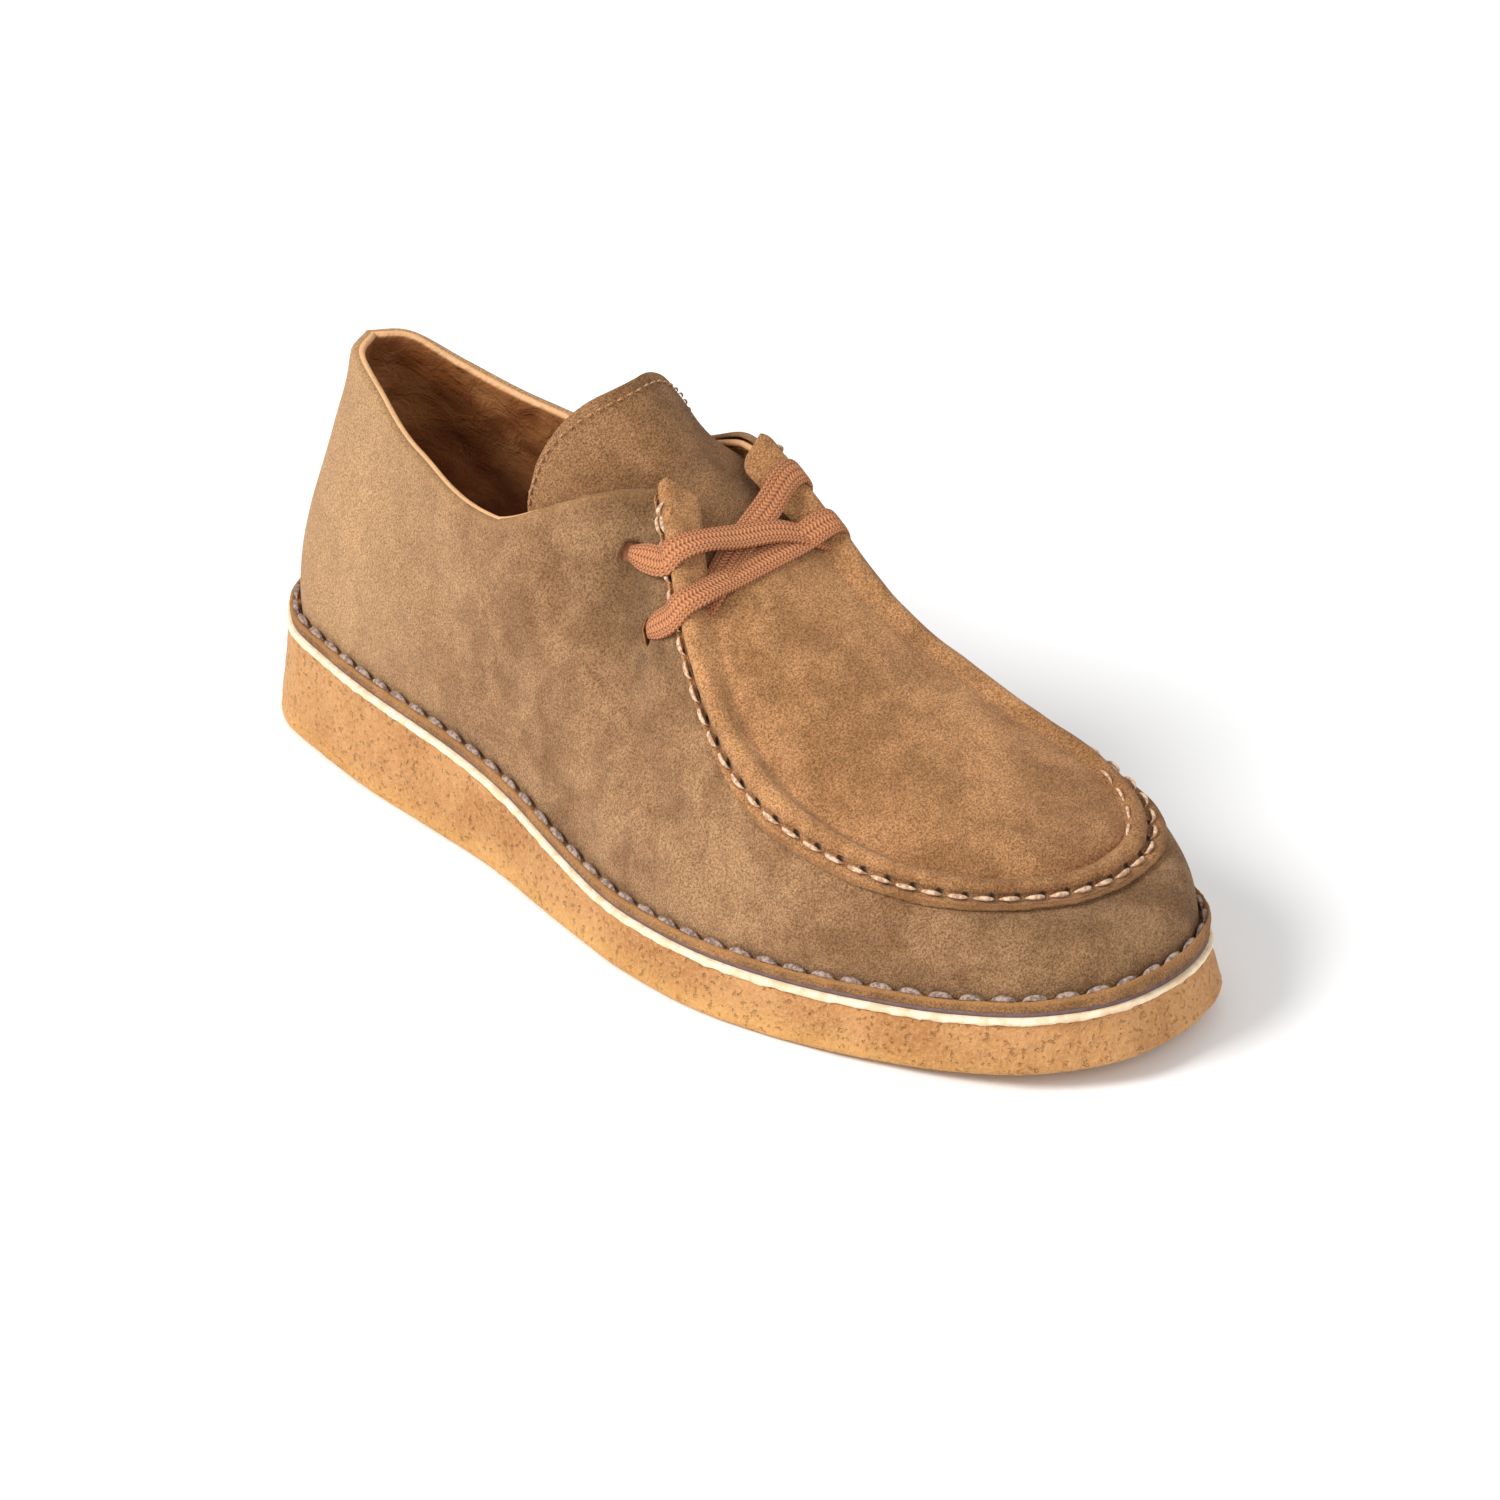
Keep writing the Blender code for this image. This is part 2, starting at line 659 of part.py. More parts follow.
def backstay(collection):
    """Strip down the back seam."""
    form = bmesh.new()
    half = BACKSTAY_WIDTH / 2
    columns = []
    for share in (-1.0, -0.5, 0.0, 0.5, 1.0):
        side = MEDIAL if share > 0 else LATERAL
        column = []
        for rise in (0.10, 0.25, 0.40, 0.55, 0.70, 0.85, 1.0):
            spread = np.linspace(0, 0.12, 13)
            points = [wall_point(side, station, rise) for station in spread]
            lengths = np.concatenate(([0.0], np.cumsum(np.linalg.norm(np.diff(points, axis=0), axis=1))))
            spot = [np.interp(abs(share) * half, lengths, [point[axis] for point in points]) for axis in range(3)]
            column.append(form.verts.new(spot))
        columns.append(column)
    for left, right in zip(columns, columns[1:]):
        stitch_columns(form, left, right)
    face_outward(form, CENTRE)
    grow(form, CLEARANCE)
    return solidify(finish_mesh("backstay", form, SUEDE, collection), BACKSTAY_THICKNESS, True)


def tongue_section(station):
    """Section of the tongue under walls and raised seams, from one wing to the other."""
    depth = UPPER_WALL + 2 * CLEARANCE

    def wing(side, share):
        distance = TONGUE_WING * share
        return wall_below(side, station, distance) - wall_normal(side, station, distance) * depth

    middle = []
    for share in (0.0, 0.25, 0.5, 0.75, 1.0):
        middle.append(crown_point(station, share) - np.array([0, 0, depth * TONGUE_SINK]))
    shares = (1.0, 0.75, 0.5, 0.32)
    return [wing(LATERAL, share) for share in shares] + middle + [wing(MEDIAL, share) for share in shares[::-1]]


def tongue(collection):
    """Wide tongue: follows the shell under the throat, then stands free with a round top."""
    form = bmesh.new()
    roots = (TONGUE_ROOT, 0.595, 0.575, APRON_TOP, 0.535, 0.518, THROAT)
    sections = [tongue_section(station) for station in roots]
    start = sections[-1]
    count = len(start)
    for share in (0.15, 0.3, 0.45, 0.6, 0.75, 0.88, 1.0):
        middle, lateral, medial = (TONGUE_RISE * shift for shift in np.split(table(TONGUE, share), 3))
        section = []
        for j, point in enumerate(start):
            across = 2 * j / (count - 1) - 1
            weight = abs(across) ** 1.6
            edge_shift = lateral if across < 0 else medial
            section.append(point + middle * (1 - weight) + edge_shift * weight)
        sections.append(section)
    columns = [[form.verts.new(point) for point in section] for section in sections]
    for left, right in zip(columns, columns[1:]):
        stitch_columns(form, left, right)
    face_outward(form, CENTRE)
    return solidify(finish_mesh("tongue", form, SUEDE, collection), TONGUE_THICKNESS, False)


def lace_stop(spots, out, gap):
    """Stop of a lace: a spot lifted off the surface, and the direction along the shoe there."""
    along = spots[2] - spots[1]
    return spots[0] + out * (gap + LACE_THICKNESS / 2), along / np.linalg.norm(along)


def climb(side, hole, crest):
    """Stops from a lace hole up the wall, and over the raised seam."""
    station, distance = hole
    step = 0.006
    stops = []
    for share in (0.78, 0.58, 0.38, 0.18):
        middle = crest + (station - crest) * share
        spots = [wall_below(side, middle + shift, distance * share) for shift in (0.0, -step, step)]
        stops.append(lace_stop(spots, wall_normal(side, middle, distance * share), LACE_GAP))
    for point in range(3):
        spots = [ridge_points(side, crest + shift)[point] for shift in (0.0, -step, step)]
        stops.append(lace_stop(spots, ridge_frame(side, crest)[1], LACE_GAP_ON_SEAM))
    return stops


def between(first, second, share, drop=0.0):
    """Spot on the straight line between two lace stops, a little lower where it is asked for."""
    spot = first[0] + (second[0] - first[0]) * share
    along = first[1] + (second[1] - first[1]) * share
    return spot - np.array([0, 0, drop]), along / np.linalg.norm(along)


def lace_strip(name, stops, collection):
    """Flat strip through stops."""
    spots = np.array([stop[0] for stop in stops])
    runs = np.gradient(spots, axis=0)
    form = bmesh.new()
    frames = []
    for (spot, along), run in zip(stops, runs):
        out = np.cross(run, along)
        out = out if out[2] > 0 else -out
        across = np.cross(out, run)
        across *= LACE_WIDTH / 2 / np.linalg.norm(across)
        half = out * LACE_THICKNESS / 2 / np.linalg.norm(out)
        corners = (spot - across - half, spot + across - half, spot + across + half, spot - across + half)
        frames.append([form.verts.new(corner) for corner in corners])
    for first, second in zip(frames, frames[1:]):
        bridge(form, first, second)
    form.faces.new(frames[0])
    form.faces.new(frames[-1])
    bmesh.ops.recalc_face_normals(form, faces=form.faces)
    return finish_mesh(name, form, BRAID, collection)


def as_cutter(item):
    item.hide_render = True
    item.display_type = "WIRE"
    return item


def boolean(item, cutter, operation):
    modifier = item.modifiers.new(cutter.name, "BOOLEAN")
    modifier.operation = operation
    modifier.solver = "EXACT"
    modifier.object = cutter


def laces(collection, cutters):
    """The lower bar, and two crossing strips that come up from under it."""
    near = climb(LATERAL, LOWER_HOLES[LATERAL], LOWER_CRESTS[LATERAL])
    far = climb(MEDIAL, LOWER_HOLES[MEDIAL], LOWER_CRESTS[MEDIAL])
    bar = near + [between(near[-1], far[-1], share) for share in (0.25, 0.5, 0.75)] + far[::-1]
    lower = lace_strip("laces", bar, collection)
    upper_near = climb(LATERAL, UPPER_HOLES[LATERAL], UPPER_CRESTS[LATERAL])
    upper_far = climb(MEDIAL, UPPER_HOLES[MEDIAL], UPPER_CRESTS[MEDIAL])
    sink = LACE_THICKNESS * 0.7
    crossing = between(between(upper_near[-1], far[-1], 0.5), between(upper_far[-1], near[-1], 0.5), 0.5)
    over = upper_near + [crossing, between(near[-1], far[-1], 0.85, sink)]
    under = upper_far + [between(crossing, crossing, 0.0, sink), between(near[-1], far[-1], 0.15, sink)]
    for name, stops in (("lace_over", over), ("lace_under", under)):
        boolean(lower, as_cutter(lace_strip(name, stops, cutters)), "UNION")
    return lower


def lace_holes(shell, cutters):
    """Four plain punched holes through the upper."""
    for side in SIDES:
        for name, holes in (("lower", LOWER_HOLES), ("upper", UPPER_HOLES)):
            spot = wall_below(side, *holes[side])
            normal = Vector(wall_normal(side, *holes[side]))
            form = bmesh.new()
            turn = normal.to_track_quat("Z", "Y").to_matrix().to_4x4()
            radius = LACE_HOLE_DIAMETER / 2
            bmesh.ops.create_cone(form, cap_ends=True, segments=12, radius1=radius, radius2=radius,
                                  depth=6 * UPPER_WALL, matrix=Matrix.Translation(Vector(spot)) @ turn)
            label = "lateral" if side == LATERAL else "medial"
            cutter = as_cutter(finish_mesh(f"hole_{label}_{name}", form, SUEDE, cutters))
            boolean(shell, cutter, "DIFFERENCE")


def main():
    clear_scene()
    shoe = new_collection("moc_toe_shoe")
    cutters = new_collection("cutters")
    outsole(shoe)
    midsole(shoe)
    welt(shoe)
    insole(shoe)
    shell = upper(shoe)
    lace_holes(shell, cutters)
    apron(shoe)
    backstay(shoe)
    tongue(shoe)
    laces(shoe, cutters)


main()
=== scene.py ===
"""A right shoe: moc toe suede lace shoe on a crepe wedge sole, dressed for the render.

Metres, +Z up, toe along -Y. Places on the shoe are given by side, by station, a share from 0 at the
heel tip to 1 at the toe tip, and by a share of the wall's height or a distance below its top edge.
"""
import math

import bmesh
import bpy
import numpy as np
from mathutils import Matrix, Vector, noise


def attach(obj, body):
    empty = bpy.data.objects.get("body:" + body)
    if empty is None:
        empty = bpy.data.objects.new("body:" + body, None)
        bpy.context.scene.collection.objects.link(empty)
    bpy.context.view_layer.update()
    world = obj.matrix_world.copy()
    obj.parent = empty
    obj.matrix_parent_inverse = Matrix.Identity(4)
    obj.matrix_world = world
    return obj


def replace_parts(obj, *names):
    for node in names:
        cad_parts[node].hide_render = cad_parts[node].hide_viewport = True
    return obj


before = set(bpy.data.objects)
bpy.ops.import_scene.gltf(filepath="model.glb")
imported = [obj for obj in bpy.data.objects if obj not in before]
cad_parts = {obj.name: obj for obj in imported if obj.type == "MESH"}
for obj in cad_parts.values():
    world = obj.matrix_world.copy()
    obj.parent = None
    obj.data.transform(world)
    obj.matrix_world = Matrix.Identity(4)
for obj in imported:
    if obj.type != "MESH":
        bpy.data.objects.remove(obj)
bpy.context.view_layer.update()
bpy.context.scene.view_settings.view_transform = "Standard"

# Camera
# The view looks down on the lateral side and the toe. It is taken from far off with a long lens,
# without shift or depth of field.

VIEW_TURN = math.radians(-45.06)
VIEW_RISE = math.radians(29.83)
VIEW_DISTANCE = 1.700
back = Vector((math.sin(VIEW_TURN) * math.cos(VIEW_RISE), -math.cos(VIEW_TURN) * math.cos(VIEW_RISE),
               math.sin(VIEW_RISE)))
right = Vector((math.cos(VIEW_TURN), math.sin(VIEW_TURN), 0))
up = back.cross(right)
lens = bpy.data.cameras.new("camera")
lens.sensor_width = 36
lens.lens = 157.06
lens.clip_end = 20
camera = bpy.data.objects.new("camera", lens)
spot = Vector((0.0024, -0.0007, 0.045)) + back * VIEW_DISTANCE + right * 0.0075 - up * 0.0109
camera.matrix_world = Matrix.Translation(spot) @ Matrix((right, up, back)).transposed().to_4x4()
bpy.context.collection.objects.link(camera)
bpy.context.scene.camera = camera


# Crepe wedge
# The sole is a wedge of natural crepe rubber, cut from a thick sheet with a knife, so its edge is
# wavy and shows the coarse crumb. It is thick under the heel and steps down at the waist.

SOLE_LENGTH = 0.300
BALL_WIDTH = 0.1112
HEEL_WIDTH = 0.078
CREPE_AT_HEEL = 0.0284
CREPE_AT_BALL = 0.0130
CREPE_AT_TOE = 0.0138
TOE_SPRING = 0.0061
CREPE_FLARE = 0.0020
CREPE_LUMPS = ((0.00030, 0.006), (0.00022, 0.0024), (0.00050, 0.020))
CREPE_ROUND = 0.0024
CREPE_TOP_INSET = 0.0010
LAYER_GAP = 0.0003
CREAM_THICKNESS = 0.0020
CREAM_INSET = 0.0030
LATERAL, MEDIAL = -1, 1
OUTLINE = (
    (0.000, -0.013), (0.014, -0.223), (0.053, -0.373), (0.120, -0.446), (0.195, -0.495), (0.288, -0.526),
    (0.381, -0.522), (0.480, -0.502), (0.581, -0.496), (0.662, -0.496), (0.742, -0.454), (0.816, -0.390),
    (0.890, -0.308), (0.953, -0.195), (0.993, -0.036), (1.000, 0.103), (0.994, 0.216), (0.975, 0.328),
    (0.920, 0.436), (0.836, 0.486), (0.752, 0.500), (0.669, 0.472), (0.569, 0.404), (0.469, 0.377),
    (0.386, 0.400), (0.286, 0.454), (0.186, 0.495), (0.102, 0.469), (0.042, 0.353), (0.009, 0.173),
)
WEDGE = (
    (0.000, 1.000), (0.135, 0.880), (0.252, 0.800), (0.336, 0.665), (0.402, 0.458), (0.469, 0.216),
    (0.530, 0.030), (0.560, 0.000),
)


def smooth(keys, values, at):
    """Cubic curve through the rows of a table, read at one key or at many."""
    keys, values = np.asarray(keys, float), np.asarray(values, float)
    slopes = np.gradient(values, keys, axis=0)
    at = np.clip(at, keys[0], keys[-1])
    row = np.minimum(np.searchsorted(keys, at, side="right") - 1, len(keys) - 2)
    step = keys[row + 1] - keys[row]
    t = (at - keys[row]) / step
    if values.ndim > 1:
        t, step = np.expand_dims(t, -1), np.expand_dims(step, -1)
    start = (2 * t**3 - 3 * t**2 + 1) * values[row] + (t**3 - 2 * t**2 + t) * step * slopes[row]
    return start + (3 * t**2 - 2 * t**3) * values[row + 1] + (t**3 - t**2) * step * slopes[row + 1]


def read(rows, at):
    """Rows of a table read between its rows, without the first column."""
    rows = np.array(rows)
    return smooth(rows[:, 0], rows[:, 1:], at)


def lengths_along(line):
    """Length from the start of a line of points to each of them."""
    return np.concatenate(([0.0], np.cumsum(np.linalg.norm(np.diff(line, axis=0), axis=1))))


def lengths_across(rows):
    """The same for each row of an array of points, along its second axis."""
    steps = np.cumsum(np.linalg.norm(np.diff(rows, axis=1), axis=2), axis=1)
    return np.concatenate((np.zeros((len(rows), 1)), steps), axis=1)


def ease(low, high, at):
    """Soft step from 0 to 1 between two values."""
    t = np.clip((np.asarray(at) - low) / (high - low), 0, 1)
    return t * t * (3 - 2 * t)


def in_plan(along, across):
    """Plan points at shares of the sole's length and of its width there."""
    width = HEEL_WIDTH + (BALL_WIDTH - HEEL_WIDTH) * ease(0.30, 0.60, along)
    return np.stack((across * width, (0.5 - along) * SOLE_LENGTH), axis=-1)


rows = in_plan(*np.array(OUTLINE).T)
loop = np.concatenate((rows[-2:], rows, rows[:3]))
keys = lengths_along(loop)
curve = smooth(keys, loop, keys[2] + (keys[len(rows) + 2] - keys[2]) * np.arange(1440) / 1440)
low, high = curve.min(axis=0), curve.max(axis=0)
SOLE_CURVE = (curve - (low + high) / 2) * np.array([BALL_WIDTH, SOLE_LENGTH]) / (high - low)


def edge(inset, side, station):
    """Plan points of the sole's outline moved inward, at stations."""
    tangents = np.roll(SOLE_CURVE, -1, axis=0) - np.roll(SOLE_CURVE, 1, axis=0)
    tangents /= np.linalg.norm(tangents, axis=1)[:, None]
    line = SOLE_CURVE - inset * np.stack((tangents[:, 1], -tangents[:, 0]), axis=1)
    line = np.roll(line, -int(line[:, 1].argmax()), axis=0)
    toe = int(line[:, 1].argmin())
    line = line[:toe + 1] if side == LATERAL else np.concatenate((line[toe:], line[:1]))[::-1]
    y = line[0, 1] + (line[-1, 1] - line[0, 1]) * (1 - np.cos(math.pi * np.asarray(station))) / 2
    return np.stack((np.interp(-y, -line[:, 1], line[:, 0]), y), axis=-1)


def around(count):
    """Side and station of each column of a loop: along the lateral side to the toe, and back."""
    half = np.linspace(0, 1, count // 2 + 1)
    return np.concatenate((half, half[-2:0:-1])), np.array([LATERAL] * len(half) + [MEDIAL] * (len(half) - 2))


def edge_loop(inset, count):
    stations, sides = around(count)
    lateral, medial = edge(inset, LATERAL, stations), edge(inset, MEDIAL, stations)
    return np.where(sides[:, None] == LATERAL, lateral, medial)


def tread_height(y):
    """Height of the underside, which springs up at the toe."""
    along = 0.5 - y / SOLE_LENGTH
    return TOE_SPRING * np.maximum((along - 0.70) / 0.30, 0) ** 2


def crepe_top(y):
    along = 0.5 - np.asarray(y) / SOLE_LENGTH
    wedge = CREPE_AT_BALL + (CREPE_AT_HEEL - CREPE_AT_BALL) * read(WEDGE, along)[..., 0]
    front = CREPE_AT_BALL + (CREPE_AT_TOE - CREPE_AT_BALL) * (along - 0.56) / 0.44
    return tread_height(y) + np.where(along < 0.56, wedge, front)


def sheet(points, uv=None):
    """Grid of faces in a bmesh on an array of points, columns by rows, with a UV map."""
    columns, rows = points.shape[:2]
    form = bmesh.new()
    form.loops.layers.uv.new("UVMap")
    bmesh.ops.create_grid(form, x_segments=columns - 1, y_segments=rows - 1, size=0.5)
    layer = form.loops.layers.uv.active
    places = {}
    for vert in form.verts:
        i = round((vert.co.x + 0.5) * (columns - 1))
        j = round((vert.co.y + 0.5) * (rows - 1))
        places[vert] = (i, j)
        vert.co = points[i, j]
    for face in form.faces:
        for corner in face.loops:
            i, j = places[corner.vert]
            corner[layer].uv = (i / (columns - 1), j / (rows - 1)) if uv is None else uv[i, j]
    return form


def shell(points, uv=None):
    """A sheet whose meeting edges are joined and whose faces are turned one way."""
    form = sheet(points, uv)
    bmesh.ops.remove_doubles(form, verts=form.verts, dist=1e-6)
    bmesh.ops.recalc_face_normals(form, faces=form.faces)
    return form


def closed(points):
    """The same array with its first column repeated at the end."""
    return np.concatenate((points, points[:1]))


def across_sole(inset, count, height, steps=9):
    """Points of a flat layer from the lateral to the medial edge."""
    stations = np.linspace(0, 1, count // 2 + 1)
    lateral, medial = edge(inset, LATERAL, stations), edge(inset, MEDIAL, stations)
    share = np.linspace(0, 1, steps)[None, :, None]
    plan = lateral[:, None] * (1 - share) + medial[:, None] * share
    return np.concatenate((plan, height(plan[..., 1])[..., None]), axis=-1)


def join_sheets(forms):
    """One bmesh from several, with the edges that meet joined and the faces turned outward."""
    whole = bmesh.new()
    for form in forms:
        mesh = bpy.data.meshes.new("sheet")
        form.to_mesh(mesh)
        form.free()
        whole.from_mesh(mesh)
        bpy.data.meshes.remove(mesh)
    bmesh.ops.remove_doubles(whole, verts=whole.verts, dist=1e-6)
    bmesh.ops.dissolve_degenerate(whole, edges=whole.edges, dist=1e-6)
    bmesh.ops.recalc_face_normals(whole, faces=whole.faces)
    return whole


def grain(point, size):
    """Soft noise from -1 to 1 with lumps of a size."""
    return noise.noise(Vector(point) / size)


def lumps_on(points, *layers):
    """Noise at an array of points, summed from layers of a depth, a lump size and a shift."""
    return np.array([[sum(depth * grain(p + shift, size) for depth, size, shift in layers) for p in column]
                     for column in points])


def face_toward(form, way):
    """Turns all faces over where, taken together, they look away from a direction."""
    form.normal_update()
    total = sum((face.normal * face.calc_area() for face in form.faces), Vector())
    if total.dot(Vector(way)) < 0:
        bmesh.ops.reverse_faces(form, faces=form.faces)


def thicken(item, thickness, offset=-1, inside=0, rim=0):
    """Gives a sheet its thickness, with the materials of its inside and of its cut edge."""
    layer = item.modifiers.new("thickness", "SOLIDIFY")
    layer.thickness = thickness
    layer.offset = offset
    layer.material_offset = inside
    layer.material_offset_rim = rim


def piece(name, form, materials, body="root"):
    """Finished object from a bmesh, riding on the shoe."""
    mesh = bpy.data.meshes.new(name)
    form.to_mesh(mesh)
    form.free()
    mesh.shade_smooth()
    item = bpy.data.objects.new(name, mesh)
    bpy.context.collection.objects.link(item)
    for material in materials:
        mesh.materials.append(material)
    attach(item, body)
    return item


class Value:
    """A shader value. Python operators on it add Math nodes."""

    def __init__(self, finish, socket):
        self.finish, self.socket = finish, socket


def operator(kind):
    return lambda value, *others: value.finish.node("ShaderNodeMath", {"operation": kind}, (value, *others))


OPERATORS = {
    "__add__": "ADD", "__radd__": "ADD", "__sub__": "SUBTRACT", "__mul__": "MULTIPLY", "__rmul__": "MULTIPLY",
    "__truediv__": "DIVIDE", "__abs__": "ABSOLUTE", "__pow__": "POWER", "wave": "SINE", "part": "FRACT",
}
for name, kind in OPERATORS.items():
    setattr(Value, name, operator(kind))
Value.__rsub__ = lambda value, other: value * -1 + other


class Finish:
    """A material, built from expressions on shader values."""

    def __init__(self, name, roughness=0.9, **constants):
        self.material = bpy.data.materials.new(name)
        self.material.use_nodes = True
        self.tree = self.material.node_tree
        self.shader = self.tree.nodes["Principled BSDF"]
        self.shader.inputs["Roughness"].default_value = roughness
        for socket, value in constants.items():
            self.shader.inputs[socket.replace("_", " ")].default_value = value

    def node(self, kind, settings, values, out=0):
        item = self.tree.nodes.new(kind)
        for key, value in settings.items():
            setattr(item, key, value)
        pairs = values.items() if isinstance(values, dict) else enumerate(values)
        for key, value in pairs:
            if isinstance(value, Value):
                self.tree.links.new(value.socket, item.inputs[key])
            else:
                item.inputs[key].default_value = value
        return Value(self, item.outputs[out])

    def place(self, output="Object"):
        return self.node("ShaderNodeTexCoord", {}, (), output)

    def axes(self, vector):
        item = self.node("ShaderNodeSeparateXYZ", {}, (vector,)).socket.node
        return [Value(self, socket) for socket in item.outputs]

    def lumps(self, size, detail=2.0, rough=0.5, twist=0.0):
        """Noise around 0.5 with lumps of a size."""
        values = {"Vector": self.place(), "Scale": 1 / size, "Detail": detail, "Roughness": rough,
                  "Distortion": twist}
        return self.node("ShaderNodeTexNoise", {}, values)

    def ramp(self, value, low, high, start=0.0, end=1.0):
        """Soft step of a value from start to end."""
        settings = {"interpolation_type": "SMOOTHSTEP"}
        return self.node("ShaderNodeMapRange", settings, (value, low, high, start, end))

    def mix(self, factor, first, second, blend="MIX"):
        first = (*first, 1) if isinstance(first, tuple) else first
        second = (*second, 1) if isinstance(second, tuple) else second
        values = {0: factor, 6: first, 7: second}
        return self.node("ShaderNodeMix", {"data_type": "RGBA", "blend_type": blend}, values, 2)

    def shade(self, colour, factor):
        """A colour made darker or lighter by a value."""
        grey = self.node("ShaderNodeCombineColor", {}, (factor, factor, factor))
        return self.mix(1.0, colour, grey, "MULTIPLY")

    def finish(self, colour, height=None, depth=0.0):
        """The finished material: a constant or worked-out colour, and relief of a depth in metres."""
        links = self.tree.links
        if isinstance(colour, tuple):
            self.shader.inputs["Base Color"].default_value = (*colour, 1)
        else:
            links.new(colour.socket, self.shader.inputs["Base Color"])
        if height is not None:
            bump = self.node("ShaderNodeBump", {}, {"Strength": 1.0, "Distance": depth, "Height": height})
            links.new(bump.socket, self.shader.inputs["Normal"])
        return self.material


crepe = Finish("crepe_rubber", 0.62, Subsurface_Weight=0.18, Subsurface_Scale=0.004, Specular_IOR_Level=0.35)
crepe.shader.inputs["Subsurface Radius"].default_value = (1.0, 0.45, 0.15)
crumb = crepe.lumps(0.0011, 3.0, 0.62)
pits = crepe.ramp(crepe.lumps(0.0016, 2.0, 0.6), 0.58, 0.72)
cloud = crepe.lumps(0.022, 3.0, 0.6)
z = crepe.axes(crepe.place())[2]
amber = crepe.mix(crepe.ramp(cloud, 0.35, 0.65), (0.44, 0.190, 0.056), (0.57, 0.280, 0.100))
amber = crepe.mix(crepe.ramp(crumb, 0.42, 0.70, 0.0, 0.40), amber, (0.70, 0.41, 0.19))
amber = crepe.mix(pits * 0.30, amber, (0.32, 0.13, 0.04))
# Painted light: within a centimetre of the floor the amber is mixed toward bright orange, a glow of light
# from the floor.
amber = crepe.mix(crepe.ramp(z, 0.010, 0.0, 0.0, 0.30), amber, (0.86, 0.50, 0.12))
crepe_look = crepe.finish(amber, crumb - pits * 0.8 + crepe.lumps(0.0045, 2.0) * 1.6, 0.0009)

SOLE_COLUMNS = 760
profile = []
for angle in np.linspace(0, math.pi / 2, 5):
    ring = closed(edge_loop(CREPE_ROUND * (1 - math.sin(angle)) - CREPE_FLARE, SOLE_COLUMNS))
    z = tread_height(ring[:, 1]) + CREPE_ROUND * (1 - math.cos(angle))
    profile.append(np.column_stack((ring, z)))
for share in np.linspace(0, 1, 18)[1:]:
    ring = closed(edge_loop(-CREPE_FLARE + (CREPE_FLARE + CREPE_TOP_INSET) * share, SOLE_COLUMNS))
    low, high = tread_height(ring[:, 1]) + CREPE_ROUND, crepe_top(ring[:, 1])
    profile.append(np.column_stack((ring, low + (high - low) * share)))
band = np.stack(profile, axis=1)
under = across_sole(CREPE_ROUND - CREPE_FLARE, SOLE_COLUMNS, tread_height, 60)
over = across_sole(CREPE_TOP_INSET, SOLE_COLUMNS, crepe_top)
forms = [sheet(points) for points in (band, under, over)]
form = join_sheets(forms)
form.normal_update()
for vert in form.verts:
    lump = sum(depth * grain(vert.co, size) for depth, size in CREPE_LUMPS)
    vert.co += vert.normal * lump * (1 - abs(vert.normal.z))
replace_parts(piece("crepe_wedge", form, [crepe_look]), "outsole")


# Cream layer
# A thin sheet of cream rubber lies between the crepe and the suede. Its cut edge shows all round,
# with a ragged lower line where the crepe's cement has crept over it.

cream = Finish("cream_rubber", 0.75)
smear = cream.lumps(0.0035, 3.0, 0.6)
pale = cream.mix(cream.ramp(smear, 0.40, 0.65), (0.93, 0.77, 0.56), (0.80, 0.58, 0.36))
cream_look = cream.finish(pale, cream.lumps(0.0006, 2.0), 0.0002)

# The edge's section, from the underside round to the top: distance in from the outline, and height
CREAM_SECTION = (
    (CREAM_INSET, 0.0), (0.0008, 0.0), (0.0003, 0.0005), (0.0003, 0.0017), (0.0010, CREAM_THICKNESS),
    (CREAM_INSET, CREAM_THICKNESS),
)
rings = []
for inset, lift in CREAM_SECTION:
    ring = closed(edge_loop(inset, SOLE_COLUMNS))
    z = crepe_top(ring[:, 1]) + LAYER_GAP * 0.3 + lift
    if lift <= 0.0005:
        z = z + [0.00045 * grain((x, y, 0), 0.0035) + 0.0002 * grain((x, y, 7), 0.0012) for x, y in ring]
    rings.append(np.column_stack((ring, z)))
points = np.stack(rings, axis=1)
low = across_sole(CREAM_INSET, SOLE_COLUMNS, lambda y: crepe_top(y) + LAYER_GAP * 0.3)
high = across_sole(CREAM_INSET, SOLE_COLUMNS, lambda y: crepe_top(y) + LAYER_GAP * 0.3 + CREAM_THICKNESS)
count = SOLE_COLUMNS // 2 + 1
low[:, 0, 2] = points[:count, 0, 2]
low[:, -1, 2] = np.concatenate((points[:1, 0, 2], points[count - 1:SOLE_COLUMNS, 0, 2][::-1]))
form = join_sheets([sheet(part) for part in (points, low, high)])
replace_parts(piece("cream_sheet", form, [cream_look]), "midsole")
